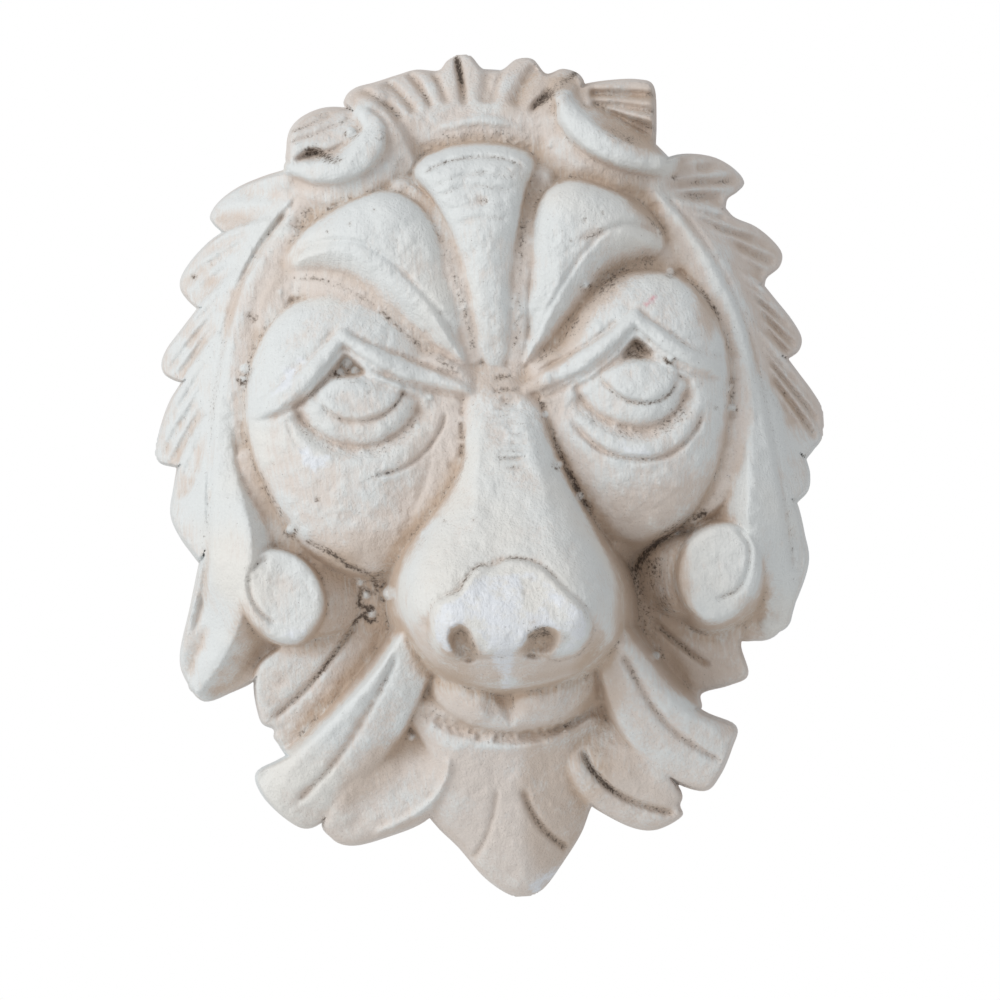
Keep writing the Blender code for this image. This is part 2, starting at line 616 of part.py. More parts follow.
def dome(inward, radius):
    """A quarter round: 0 at the edge, 1 from the radius inward."""
    t = np.clip(inward / radius, 0, 1)
    return np.sqrt(t * (2 - t))


def ease(value, low, high):
    t = np.clip((value - low) / (high - low), 0, 1)
    return t * t * (3 - 2 * t)


def soft_max(first, second, fillet):
    """The higher of two heights, with a fillet where they cross."""
    t = np.clip(0.5 + 0.5 * (second - first) / fillet, 0, 1)
    return first + (second - first) * t + fillet * t * (1 - t)


def blur(values, sigma):
    reach = int(np.ceil(3 * sigma))
    weights = np.exp(-0.5 * (np.arange(-reach, reach + 1) / sigma) ** 2)
    weights /= weights.sum()
    padded = np.pad(values, reach, mode="edge")
    rows = sum(weight * padded[i : i + values.shape[0]] for i, weight in enumerate(weights))
    return sum(weight * rows[:, i : i + values.shape[1]] for i, weight in enumerate(weights))


class Relief:
    """Heights over a grid on the wall: u runs right, v up and h out of the wall, all in shares."""

    def __init__(self, step):
        self.step = step
        columns = np.arange(-LEFT_REACH, RIGHT_REACH, step)
        rows = np.arange(-LOWER_REACH, UPPER_REACH, step)
        self.u, self.v = np.meshgrid(columns, rows)
        self.h = np.full(self.u.shape, NOTHING)
        self.cover = np.full(self.u.shape, NOTHING)

    def follow(self, line, margin):
        """The window round a line, and there the distance to it, the share along it and the side."""
        low = line.min(0) - margin
        high = line.max(0) + margin
        columns = np.searchsorted(self.u[0], [low[0], high[0]])
        rows = np.searchsorted(self.v[:, 0], [low[1], high[1]])
        window = (slice(*rows), slice(*columns))
        u, v = self.u[window], self.v[window]
        nearest = np.full(u.shape, 1e9)
        share = np.zeros(u.shape)
        side = np.ones(u.shape)
        legs = np.diff(line, axis=0)
        lengths = np.maximum(np.hypot(legs[:, 0], legs[:, 1]), 1e-9)
        done = 0.0
        for (start_u, start_v), (du, dv), length in zip(line, legs / lengths[:, None], lengths):
            along = np.clip((u - start_u) * du + (v - start_v) * dv, 0, length)
            off_u = u - start_u - along * du
            off_v = v - start_v - along * dv
            distance = np.hypot(off_u, off_v)
            closer = distance < nearest
            nearest = np.where(closer, distance, nearest)
            share = np.where(closer, (done + along) / lengths.sum(), share)
            side = np.where(closer, np.sign(du * off_v - dv * off_u), side)
            done += length
        return window, nearest, share, side

    def within(self, outline, margin=7.0):
        """The window round a closed outline, and there the distance inside it, below zero outside."""
        window, nearest, _, _ = self.follow(outline, margin)
        u, v = self.u[window], self.v[window]
        inside = np.zeros(u.shape, bool)
        for (u0, v0), (u1, v1) in zip(outline[:-1], outline[1:]):
            if v0 != v1:
                crossing = u0 + (v - v0) * (u1 - u0) / (v1 - v0)
                inside ^= ((v0 > v) != (v1 > v)) & (u < crossing)
        return window, np.where(inside, nearest, -nearest)

    def join(self, window, body, inward, fillet=0.8):
        """Adds a body whose footprint is where inward is above zero."""
        self.h[window] = soft_max(self.h[window], body, fillet)
        self.cover[window] = np.maximum(self.cover[window], inward)

    def roll(self, spine, halves, levels, crown, radius=3.0, wall=5.0, fillet=0.8, leans=(0, 0)):
        """A rounded ridge along a line; leans lift its left side and lower its right."""
        window, nearest, share, side = self.follow(curve(spine), max(halves) + 7)
        half = spread(share, halves)
        inward = half - nearest
        across = np.clip(side * nearest / half, -1, 1)
        top = spread(share, levels) + spread(share, leans) * across
        body = top + crown * (dome(inward, radius) - 1) + wall * np.minimum(inward, 0)
        self.join(window, body, inward, fillet)

    def pad(self, outline, level, crown, radius, wall=5.0, fillet=0.8):
        """A raised field with a round edge; level is one height, or pairs of v and height."""
        window, inward = self.within(curve(outline, closed=True))
        top = between(self.v[window], level) if isinstance(level, list) else level
        body = top + crown * (dome(inward, radius) - 1) + wall * np.minimum(inward, 0)
        self.join(window, body, inward, fillet)

    def groove(self, spine, width, depth, fade=0.12):
        """A rounded groove that runs out at its ends, or a ridge where depth is below zero."""
        window, nearest, share, _ = self.follow(curve(spine), width * 2.5)
        ends = ease(np.minimum(share, 1 - share), 0, fade)
        self.h[window] -= depth * ends * np.exp(-2 * (nearest / width) ** 2)

    def dip(self, outline, depth, slope):
        """A hollow with sloping sides, or a swelling where depth is below zero."""
        window, inward = self.within(curve(outline, closed=True))
        self.h[window] -= depth * ease(inward, -0.3 * slope, slope)


def carve_base(relief):
    """The low shell behind everything, and the floors of the valleys that show."""
    across = (relief.u - SHELL_MIDDLE[0]) / SHELL_HALVES[0]
    up = (relief.v - SHELL_MIDDLE[1]) / SHELL_HALVES[1]
    shell = 1 - across**2 - up**2
    body = np.where(shell > 0, SHELL_LEVEL + SHELL_RISE * np.sqrt(np.maximum(shell, 0)), NOTHING)
    relief.join(np.s_[:, :], body, shell * 30, 0.5)
    for spine, halves, levels in FLOORS:
        relief.roll(spine, halves, levels, 0.5, radius=2, wall=2, fillet=1.5)


def carve_mane(relief, side):
    """Overlapping locks from root to tip, each higher along its upper edge, with fine ribs."""
    mane = MANE[side]
    turning = 1 if side == "left" else -1
    from_roots = np.full(relief.u.shape, 30.0)
    window, nearest, _, _ = relief.follow(curve(mane["roots"]), 26)
    from_roots[window] = nearest
    for root, edge, next_root in zip(mane["roots"], mane["edges"], mane["roots"][1:]):
        root, next_root, above, below = (
            np.array(point, float) for point in (root, next_root, edge[0], edge[-1])
        )
        seam = next_root - below
        under = np.array([-seam[1], seam[0]]) * -turning / np.hypot(*seam) * 2.5
        tucked = [below + seam * 0.08 + under * 0.6, below + seam * 0.4 + under]
        hidden = tucked + [next_root + under, root, above]
        window, inward = relief.within(np.vstack([curve(edge), hidden]))
        place = np.stack([relief.u[window], relief.v[window]], -1)
        off_seam = np.abs((place - below) @ np.array([seam[1], -seam[0]])) / np.hypot(*seam)
        top = root - above
        off_top = np.abs((place - above) @ np.array([top[1], -top[0]])) / np.hypot(*top)
        rise = off_seam / (off_seam + off_top + 1e-6)
        reach = from_roots[window]
        body = LOCK_LEVEL - 0.75 * reach - 0.025 * reach**2
        body += mane["tilt"] * (rise - 0.6) * ease(reach, 0, 5)
        ribs = np.cos(2 * np.pi * mane["ribs"] * rise)
        body += mane["rib_depth"] * ribs * ease(reach, 1.5, 6) * ease(inward, 0.3, 2.8)
        body += 1.2 * (dome(inward, 2.0) - 1) * ease(reach, 3, 9) + 3.5 * np.minimum(inward, 0)
        relief.join(window, body, inward, 0.4)


def carve_band(relief, side):
    """The long leaf beside the face, which rises to its scroll, and the strip outside it."""
    band = BANDS[side]
    relief.roll(
        band["spine"], band["halves"], band["levels"], 2.2, radius=2.8, wall=1.4, leans=band["leans"]
    )
    relief.pad(band["leaf"], LEAF_LEVELS, 1.5, 2.5, wall=EDGE_WALL)
    relief.groove(band["line"], 1.1, 1.5, 0.04)


def swung(inner, outer):
    """A line from one point past another that first runs up and then bends outward."""
    inner, outer = np.array(inner, float), np.array(outer, float)
    outer = outer + (outer - inner) * 0.1
    middle = inner * (0.55, 0.45) + outer * (0.45, 0.55)
    return [inner, middle, outer]


def carve_tuft(relief):
    """The crest over the forehead: a fan of flutes behind a low curved fillet."""
    relief.pad(TUFT["outline"], TUFT["levels"], 1.6, 2.2, wall=EDGE_WALL)
    for inner, outer, width, depth in TUFT["flutes"]:
        relief.groove(swung(inner, outer), width, depth, 0.16)
    fillet_levels = [26.6, 28.3, 28.7, 28.3, 26.6]
    relief.roll(TUFT["fillet"], [0.9, 1.4, 1.6, 1.4, 0.9], fillet_levels, 0.8, radius=1.5, wall=2)
    groove_levels = [26, 27.4, 27.8, 27.4, 26]
    relief.roll(TUFT["groove"], [1.6, 2.2, 2.2, 2.2, 1.6], groove_levels, 0.3, radius=1.4, wall=1)


def carve_low_leaves(relief):
    """The broad leaves that show between the scrolls and the moustache."""
    for outline, levels in LOW_LEAVES["pads"]:
        relief.pad(outline, levels, 1.5, 2.5, wall=EDGE_WALL)
    for vein in LOW_LEAVES["veins"]:
        relief.groove(vein, 1.1, 1.8, 0.12)


def carve_ear(relief, side):
    """A ribbed shell with a hollow in it, behind a thick rolled rim."""
    ear = EARS[side]
    relief.pad(ear["shell"], ear["level"], 2.0, 2.5, wall=9)
    relief.roll(ear["wall"], [3, 4, 4, 4, 3], ear["wall_levels"], 1.5, radius=4, wall=1.3, fillet=2)
    relief.dip(ear["hollow"], ear["depth"], ear["slope"])
    for rib in ear["ribs"]:
        relief.groove(rib, ear["rib_width"], ear["rib_depth"], 0.1)
    relief.roll(ear["rim"], ear["halves"], ear["rim_levels"], 2.0, radius=2.6, wall=2.6, fillet=0.6)


def carve_beard(relief):
    """The chin that runs down to a point, and a leaf of beard on each side of it."""
    window, inward = relief.within(curve(BEARD["chin"], closed=True))
    body = between(relief.v[window], BEARD["chin_levels"]) + 6 * (dome(inward, 12) - 1)
    body -= 0.33 * np.maximum(relief.u[window] - 1, 0) + EDGE_WALL * np.maximum(-inward, 0)
    relief.join(window, body, inward, 0.8)
    for spine, width, depth in BEARD["chin_grooves"]:
        relief.groove(spine, width, depth, 0.1)
    for leaf in BEARD["leaves"]:
        relief.pad(leaf["outline"], BEARD_LEAF_LEVELS, 2.5, 2.8, wall=6, fillet=0.6)
        relief.groove(leaf["vein"], leaf["width"], leaf["depth"], 0.08)
    relief.dip(BEARD["hollow"], 1.3, 5)


def carve_moustache(relief, side):
    """A broad strand with a rounded crest that sweeps down from the muzzle to a blunt end."""
    strand = MOUSTACHES[side]
    widest = STRAND_RADIUS - 0.5
    from_crest = np.full(relief.u.shape, widest)
    window, nearest, _, _ = relief.follow(curve(strand["crest"]), widest)
    from_crest[window] = np.minimum(nearest, widest)
    window, inward = relief.within(curve(strand["outline"], closed=True))
    arch = np.sqrt(1 - (from_crest[window] / STRAND_RADIUS) ** 2)
    body = between(relief.v[window], STRAND_LEVELS) + 8 * (arch - 1)
    body += 1.2 * (dome(inward, 1.5) - 1) + 6 * np.minimum(inward, 0)
    relief.join(window, body, inward, 0.5)
    relief.groove(strand["roll"], 2.6, -1.0, 0.1)
    relief.groove(strand["groove"], 1.2, 1.7, 0.08)


def carve_mound(relief, side):
    """The great round swelling that holds the eye, the lids and the cheek under them."""
    mound = MOUNDS[side]
    turn = np.radians(mound["turn"])
    du = relief.u - mound["centre"][0]
    dv = relief.v - mound["centre"][1]
    across = np.abs(du * np.cos(turn) + dv * np.sin(turn)) / mound["half_width"]
    up = np.abs(dv * np.cos(turn) - du * np.sin(turn)) / mound["half_height"]
    out = (across ** mound["squareness"] + up ** mound["squareness"]) ** (1 / mound["squareness"])
    swell = np.sqrt(np.clip(1 - np.minimum(out, 1) ** 2.3, 0, 1))
    body = MOUND_LEVEL + MOUND_RISE * swell - MOUND_WALL * np.maximum(out - 1, 0)
    relief.join(np.s_[:, :], body, (1 - out) * 25, 1.2)


def carve_inner_slopes(relief):
    """The soft slopes that lead from each mound to the bridge of the nose."""
    for spine, halves, levels in INNER_SLOPES:
        relief.roll(spine, halves, levels, 1.5, radius=4, wall=1.6, fillet=3.0)


def carve_brow(relief, side):
    """A drop-shaped lobe of the forehead that rolls under along its lower edge."""
    brow = BROWS[side]
    window, inward = relief.within(curve(brow["outline"], closed=True))
    from_crack = np.full(relief.u.shape, 20.0)
    near, nearest, _, _ = relief.follow(curve(brow["crack"]), 12)
    from_crack[near] = nearest
    rolled_under = ease(12 - from_crack[window], 0, 5)
    upper_swell = dome(inward, 9.0)
    lower_swell = np.sin(np.pi / 2 * np.clip(inward / 9.0, 0, 1)) ** 1.15
    falling = 0.17 * np.maximum(np.abs(relief.u[window]) - 24, 0)
    body = BROW_LEVEL + 0.06 * np.clip(50 - relief.v[window], 0, 30) - falling
    body += BROW_RISE * (upper_swell + (lower_swell - upper_swell) * rolled_under)
    relief.join(window, body + 5 * np.minimum(inward, 0), inward, 0.5)
    relief.groove(brow["crease"], 0.9, 1.0, 0.08)


def carve_wedge(relief):
    """The flared middle of the forehead, with shallow arcs across its top."""
    window, inward = relief.within(curve(WEDGE["outline"], closed=True))
    v = relief.v[window]
    body = between(v, WEDGE["levels"]) + 6 * np.minimum(inward, 0)
    body += between(v, WEDGE["crowns"]) * dome(inward, between(v, WEDGE["radii"]))
    relief.join(window, body, inward, 0.5)
    for arc, depth in WEDGE["arcs"]:
        relief.groove(arc, 0.8, depth, 0.08)


def carve_scroll(relief, side):
    """The curled end of the leaf: a short roll out of the cheek with a flat round end."""
    scroll = SCROLLS[side]
    relief.roll(scroll["roll"], [9, 9, 7], scroll["roll_levels"], 7, radius=8, wall=5, fillet=1.0)
    relief.pad(scroll["end"], SCROLL_LEVEL, 2.2, 2.2, wall=14, fillet=1.0)
    relief.groove(scroll["curl"], 0.8, 1.3, 0.12)


def carve_eye(relief, side):
    """The eye under its pointed lid, with folds below."""
    eye = EYES[side]
    window, inward = relief.within(curve(eye["opening"], closed=True))
    relief.h[window] -= 2.3 * ease(inward, -0.3, 1.6) - 1.7 * dome(inward - 1.2, 6.0)
    relief.groove(eye["lower"], 2.5, 2.3, 0.08)
    window, inward = relief.within(curve(eye["lens"], closed=True))
    relief.h[window] += 1.5 * dome(inward, 1.4)
    relief.groove(eye["iris_line"], 0.7, 0.6, 0.1)
    relief.dip(eye["pocket"], eye["pocket_depth"], 1.4)
    window, nearest, share, _ = relief.follow(curve(eye["lid"]), 6)
    inward = spread(share, eye["lid_halves"]) - nearest
    relief.h[window] += 2.2 * dome(inward, 1.9) * ease(np.minimum(share, 1 - share), -0.01, 0.08)
    for line, width, depth in eye["arm_lines"] + eye["folds"]:
        relief.groove(line, width, depth, 0.1)


def carve_mouth(relief):
    """Two soft lip pads under the nose, the line of the mouth and the lower lip."""
    relief.pad(MOUTH["lip"], LIP_LEVEL, 6.5, 7.5, wall=2.5, fillet=1.5)
    for cushion in MOUTH["cushions"]:
        relief.dip(cushion, -2.2, 3.2)
    relief.dip(MOUTH["furrow"], 2.2, 1.8)
    relief.groove(MOUTH["line"], 2.2, 1.5, 0.08)
    lip_halves = [0.5, 0.8, 0.8, 0.5]
    lip_levels = [28, 31.3, 31.3, 28]
    relief.roll(MOUTH["lower_lip"], lip_halves, lip_levels, 0.7, radius=1.1, wall=1.4, fillet=1.2)


def carve_muzzle(relief):
    """The bridge and the muzzle in one, then the nose pad with its two nostrils."""
    window, inward = relief.within(curve(MUZZLE["outline"], closed=True))
    v = relief.v[window]
    rim = between(v, MUZZLE["rim"])
    swell = (between(v, MUZZLE["ridge"]) - rim) * dome(inward, between(v, MUZZLE["radius"]))
    relief.join(window, rim + swell + 6 * np.minimum(inward, 0), inward, 1.6)
    relief.groove(MUZZLE["valley"], 3.0, 1.5, 0.1)
    window, inward = relief.within(curve(MUZZLE["pad"], closed=True))
    relief.h[window] += 1.9 * dome(inward, 1.5) - 0.5 * np.exp(-((inward + 0.3) ** 2) / 0.3)
    for nostril, depth, slope in MUZZLE["nostrils"]:
        relief.dip(nostril, depth, slope)


def carve_mask(step):
    """The whole face, from the wall forward."""
    relief = Relief(step)
    sides = ("left", "right")
    carve_base(relief)
    for side in sides:
        carve_mane(relief, side)
    for side in sides:
        carve_band(relief, side)
    carve_tuft(relief)
    carve_low_leaves(relief)
    for side in sides:
        carve_ear(relief, side)
    carve_beard(relief)
    for side in sides:
        carve_moustache(relief, side)
    for side in sides:
        carve_mound(relief, side)
    carve_inner_slopes(relief)
    for side in sides:
        carve_brow(relief, side)
    carve_wedge(relief)
    for side in sides:
        carve_scroll(relief, side)
    for side in sides:
        carve_eye(relief, side)
    carve_mouth(relief)
    carve_muzzle(relief)
    relief.h = np.minimum(blur(relief.h, SOFTENING / step), RIM_SHARE + EDGE_SLOPE * relief.cover)
    return relief


def solid_points(relief):
    """Where each point of the relief lies: the higher it is, the nearer to the line to the eye."""
    toward_eye = 1 - relief.h * DEPTH_SHARE / VIEW_DISTANCE
    x = relief.u * SHARE * toward_eye
    y = -relief.h * DEPTH_SHARE
    z = (EYE_LEVEL + (relief.v - EYE_LEVEL) * toward_eye) * SHARE
    return np.stack([x, y, z], -1)


def carved_surface():
    """An open mesh of the carving, on a grid whose points are moved onto the relief."""
    points = solid_points(carve_mask(GRID_STEP))
    rows, columns = points.shape[:2]
    surface = bmesh.new()
    bmesh.ops.create_grid(surface, x_segments=columns - 1, y_segments=rows - 1, size=1)
    for vert in surface.verts:
        column = round((vert.co.x + 1) / 2 * (columns - 1))
        row = round((vert.co.y + 1) / 2 * (rows - 1))
        vert.co = points[row, column]
    bmesh.ops.triangulate(surface, faces=surface.faces)
    mesh = bpy.data.meshes.new("carved_surface")
    surface.to_mesh(mesh)
    surface.free()
    return mesh


def collapsed(mesh, triangles):
    """The mesh with its flattest places collapsed, down to about so many triangles."""
    carrier = bpy.data.objects.new("carved_surface", mesh)
    bpy.context.collection.objects.link(carrier)
    collapse = carrier.modifiers.new("collapse", "DECIMATE")
    collapse.ratio = triangles / len(mesh.polygons)
    evaluated = carrier.evaluated_get(bpy.context.evaluated_depsgraph_get())
    lighter = bpy.data.meshes.new_from_object(evaluated)
    bpy.data.objects.remove(carrier)
    bpy.data.meshes.remove(mesh)
    return lighter


def close_back(mesh):
    """Cuts the mesh along the wall and closes it with a flat back."""
    solid = bmesh.new()
    solid.from_mesh(mesh)
    parts = solid.verts[:] + solid.edges[:] + solid.faces[:]
    bmesh.ops.bisect_plane(
        solid, geom=parts, dist=SMALLEST_EDGE, plane_co=(0, 0, 0), plane_no=(0, 1, 0), clear_outer=True
    )
    for edge in solid.edges:
        if edge.is_boundary:
            for vert in edge.verts:
                vert.co.y = 0
    bmesh.ops.dissolve_degenerate(solid, dist=SMALLEST_EDGE, edges=solid.edges)
    rim = [edge for edge in solid.edges if edge.is_boundary]
    back = bmesh.ops.holes_fill(solid, edges=rim, sides=0)["faces"]
    bmesh.ops.triangulate(solid, faces=back, ngon_method="EAR_CLIP")
    bmesh.ops.recalc_face_normals(solid, faces=solid.faces)
    solid.to_mesh(mesh)
    solid.free()


def make_plaster():
    """Matt, off-white cast plaster."""
    material = bpy.data.materials.new("plaster")
    material.use_nodes = True
    shader = material.node_tree.nodes["Principled BSDF"]
    shader.inputs["Base Color"].default_value = PLASTER_COLOUR
    shader.inputs["Roughness"].default_value = PLASTER_ROUGHNESS
    shader.inputs["Metallic"].default_value = 0.0
    return material


def make_mask():
    mesh = collapsed(carved_surface(), SURFACE_TRIANGLES)
    close_back(mesh)
    mesh.name = "lion_mask"
    mesh.materials.append(make_plaster())
    mesh.shade_smooth()
    mesh.set_sharp_from_angle(angle=np.radians(50))
    mask = bpy.data.objects.new("lion_mask", mesh)
    bpy.context.collection.objects.link(mask)


def clear_scene():
    for item in list(bpy.data.objects):
        bpy.data.objects.remove(item)


clear_scene()
make_mask()
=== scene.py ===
import bmesh
import bpy
import numpy as np
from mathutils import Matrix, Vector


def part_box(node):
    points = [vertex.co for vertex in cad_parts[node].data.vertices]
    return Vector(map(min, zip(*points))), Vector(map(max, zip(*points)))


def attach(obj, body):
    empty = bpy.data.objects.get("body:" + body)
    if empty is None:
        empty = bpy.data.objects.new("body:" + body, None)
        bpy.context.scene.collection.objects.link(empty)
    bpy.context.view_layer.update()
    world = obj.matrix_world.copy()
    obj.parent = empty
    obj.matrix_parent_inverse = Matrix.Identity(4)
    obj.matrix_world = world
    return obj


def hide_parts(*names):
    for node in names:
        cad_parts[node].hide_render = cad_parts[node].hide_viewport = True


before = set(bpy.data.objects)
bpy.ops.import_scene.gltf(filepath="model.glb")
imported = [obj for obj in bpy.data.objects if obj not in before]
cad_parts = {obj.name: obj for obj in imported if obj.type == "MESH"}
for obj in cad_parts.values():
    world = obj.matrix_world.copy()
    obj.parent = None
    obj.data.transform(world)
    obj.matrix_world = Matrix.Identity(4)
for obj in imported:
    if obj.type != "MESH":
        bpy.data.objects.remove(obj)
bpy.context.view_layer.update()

# The blank: the low shell of plaster behind the whole face, the flat field that the carving starts from.
# One casting, poured face down in a mould. It is worked here as heights over a fine grid on the wall, in
# shares of the mask's height and depth, and every feature below is modelled onto the same grid.
low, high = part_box("lion_mask")
drawn_height = 201.7
drawn_depth = 75.2
share = (high.z - low.z) / drawn_height
depth_share = (high.y - low.y) / drawn_depth
view_distance = 0.400
eye_level = -5.0
grid_step = 0.32
nothing = -30.0
grid_left, grid_right, grid_bottom, grid_top = -86, 84, -104, 106
grid_u, grid_v = np.meshgrid(
    np.arange(grid_left, grid_right, grid_step), np.arange(grid_bottom, grid_top, grid_step)
)
height = np.full(grid_u.shape, nothing)
cover = np.full(grid_u.shape, nothing)
bare_coat = 0.15
coat = np.full(grid_u.shape, bare_coat)
dirt_and_shade = np.zeros(grid_u.shape)
fresh = np.zeros(grid_u.shape)
rubbed = np.zeros(grid_u.shape)


def blur(values, sigma):
    """Spreads a field softly over its neighbours, as wide as sigma."""
    sigma = sigma / grid_step
    reach = int(np.ceil(3 * sigma))
    weights = np.exp(-0.5 * (np.arange(-reach, reach + 1) / sigma) ** 2)
    weights /= weights.sum()
    padded = np.pad(values, reach, mode="edge")
    rows = sum(weight * padded[i : i + values.shape[0]] for i, weight in enumerate(weights))
    return sum(weight * rows[:, i : i + values.shape[1]] for i, weight in enumerate(weights))


def unevenness(seed, sigma):
    """A seeded field of soft lumps as wide as sigma, mostly between -2 and 2."""
    field = blur(np.random.default_rng(seed).normal(size=grid_u.shape), sigma)
    return field / field.std()


fine_grit = unevenness(3, 0.42)
coarse_grit = unevenness(5, 1.1)
lumps = unevenness(8, 3.2)


def curve(points, closed=False):
    """Points along a smooth line through the given ones."""
    steps = 6
    knots = np.array(points, float)
    if closed:
        knots = np.vstack([knots[-1:], knots, knots[:2]])
    else:
        knots = np.vstack([2 * knots[0] - knots[1], knots, 2 * knots[-1] - knots[-2]])
    t = np.linspace(0, 1, steps, endpoint=False)[:, None]
    spans = []
    for before, start, end, after in zip(knots[:-3], knots[1:-2], knots[2:-1], knots[3:]):
        leave = (end - before) / 2
        arrive = (after - start) / 2
        bend = 3 * (end - start) - 2 * leave - arrive
        settle = 2 * (start - end) + leave + arrive
        spans.append(start + leave * t + bend * t**2 + settle * t**3)
    spans.append(knots[-2:-1])
    return np.vstack(spans)


def between(value, pairs):
    """Smooth reading from pairs of place and height."""
    marks = curve(pairs)
    return np.interp(value, marks[:, 0], marks[:, 1])


def spread(along, values):
    """Smooth reading from evenly spaced values, at a share of the way along."""
    return between(along, list(zip(np.linspace(0, 1, len(values)), values)))


def dome(inward, radius):
    """A quarter round: 0 at the edge, 1 from the radius inward."""
    t = np.clip(inward / radius, 0, 1)
    return np.sqrt(t * (2 - t))


def ease(value, start, end):
    """Rises smoothly from 0 at the start to 1 at the end."""
    t = np.clip((value - start) / (end - start), 0, 1)
    return t * t * (3 - 2 * t)


def follow(line, margin):
    """The window round a line, and there the distance to it, the share along it and the side."""
    first = line.min(0) - margin
    last = line.max(0) + margin
    columns = np.searchsorted(grid_u[0], [first[0], last[0]])
    rows = np.searchsorted(grid_v[:, 0], [first[1], last[1]])
    window = (slice(*rows), slice(*columns))
    u, v = grid_u[window], grid_v[window]
    nearest = np.full(u.shape, np.inf)
    along_all = np.zeros(u.shape)
    side = np.ones(u.shape)
    legs = np.diff(line, axis=0)
    lengths = np.maximum(np.hypot(legs[:, 0], legs[:, 1]), 1e-9)
    done = 0.0
    for (start_u, start_v), (du, dv), length in zip(line, legs / lengths[:, None], lengths):
        along = np.clip((u - start_u) * du + (v - start_v) * dv, 0, length)
        off_u = u - start_u - along * du
        off_v = v - start_v - along * dv
        distance = np.hypot(off_u, off_v)
        closer = distance < nearest
        nearest = np.where(closer, distance, nearest)
        along_all = np.where(closer, (done + along) / lengths.sum(), along_all)
        side = np.where(closer, np.sign(du * off_v - dv * off_u), side)
        done += length
    return window, nearest, along_all, side


fillet_room = 7.0


def enclosed(polygon):
    """The window round a closed polygon, and there the distance inside it, below zero outside."""
    window, nearest, _, _ = follow(polygon, fillet_room)
    u, v = grid_u[window], grid_v[window]
    inside = np.zeros(u.shape, bool)
    for (u0, v0), (u1, v1) in zip(polygon[:-1], polygon[1:]):
        if v0 != v1:
            crossing = u0 + (v - v0) * (u1 - u0) / (v1 - v0)
            inside ^= ((v0 > v) != (v1 > v)) & (u < crossing)
    return window, np.where(inside, nearest, -nearest)


def within(outline):
    """The same for the smooth closed line through an outline's points."""
    return enclosed(curve(outline, closed=True))


def body_of_line(along, fade):
    """1 along the middle of a line, and falling to 0 over the fade at both ends."""
    return ease(np.minimum(along, 1 - along), 0, fade)


def join(window, body, inward, fillet, white):
    """Adds plaster where inward is above zero, with a fillet where it meets the rest; white is its paint."""
    before = height[window]
    t = np.clip(0.5 + 0.5 * (body - before) / fillet, 0, 1)
    height[window] = before + (body - before) * t + fillet * t * (1 - t)
    cover[window] = np.maximum(cover[window], inward)
    coat[window] += (white - coat[window]) * t


def roll(spine, halves, levels, crown, radius=3.0, wall=5.0, fillet=0.8, leans=(0, 0), white=0.3):
    """A rounded ridge along a line; leans lift its left side and lower its right."""
    window, nearest, along, side = follow(curve(spine), max(halves) + fillet_room)
    half = spread(along, halves)
    inward = half - nearest
    off_centre = np.clip(side * nearest / half, -1, 1)
    top = spread(along, levels) + spread(along, leans) * off_centre
    wall = spread(along, wall) if isinstance(wall, list) else wall
    body = top + crown * (dome(inward, radius) - 1) + wall * np.minimum(inward, 0)
    join(window, body, inward, fillet, white)


shell_centre = (-2, 12)
shell_half_width = 68
shell_half_height = 86
shell_rim = 12
shell_swell = 10
across = (grid_u - shell_centre[0]) / shell_half_width
upward = (grid_v - shell_centre[1]) / shell_half_height
shell = 1 - across**2 - upward**2
shell_height = np.where(shell > 0, shell_rim + shell_swell * np.sqrt(np.maximum(shell, 0)), nothing)
join(np.s_[:, :], shell_height, shell * 30, fillet=0.5, white=bare_coat)
valley_floors = (
    ([(-19, 69.5), (-12, 62), (-7, 48), (-4.2, 30)], [3, 3, 2.5, 2], [32.5, 38.5, 40, 38]),
    ([(13.5, 70), (10, 62), (7.3, 48), (5.6, 29)], [3, 3, 2.5, 2], [32.5, 38.5, 40, 38]),
    (
        [(-49, 50), (-40, 49.5), (-28, 43), (-16, 33.5), (-7.5, 26)],
        [3.5, 4.5, 4.5, 3.5, 2.5],
        [30, 35.5, 38, 38, 36],
    ),
    (
        [(45, 51), (37, 49.5), (28, 44.5), (18, 35), (10, 27)],
        [3.5, 4.5, 4, 3, 2.5],
        [29, 32.5, 34.5, 36.5, 36],
    ),
    ([(-41, 67.5), (-32, 69.5), (-22, 74), (-17, 79)], [4, 4.5, 4, 3], [27, 30, 30, 27]),
    ([(39, 67), (30, 71), (21, 74), (15, 79)], [3.5, 4, 4, 3], [26, 29, 29.5, 27]),
    ([(-47, 60), (-55, 47), (-58.5, 34), (-60, 20), (-60, 4)], [3, 4, 4, 4, 4.5], [28.5, 30, 30.5, 30, 28]),
    ([(44, 60), (51.5, 47), (56, 34), (58.5, 20), (59, 6)], [3, 4, 4, 4, 4.5], [28, 29.5, 30, 30, 28]),
    ([(-44, 64), (-48, 58), (-52, 50), (-53.5, 43)], [3, 3.5, 3.5, 3], [27, 28.5, 29.5, 29]),
    ([(-49, 49), (-51, 45), (-52.5, 40)], [2.5, 3, 2.5], [31, 31.5, 31.5]),
    ([(41, 63), (45, 57), (49, 49), (51, 42)], [3, 3, 3, 3], [25.5, 27, 27.5, 27.5]),
    ([(-59, 8), (-55.5, -3), (-51, -9), (-44, -14)], [3, 4, 4.5, 4], [31, 33, 34, 33]),
    ([(58, 22), (57, 8), (52, -3), (45, -9)], [3.5, 4.5, 4.5, 4], [31.5, 33.5, 34, 33]),
    ([(-19, 77), (-21.5, 83), (-25, 89)], [3, 3, 3], [30, 31, 27]),
    ([(-61, -6), (-63, -20), (-64, -34)], [4, 6, 5], [24, 24, 18]),
    ([(60, -4), (61, -18), (59, -32)], [4, 6, 5], [24, 24, 18]),
)
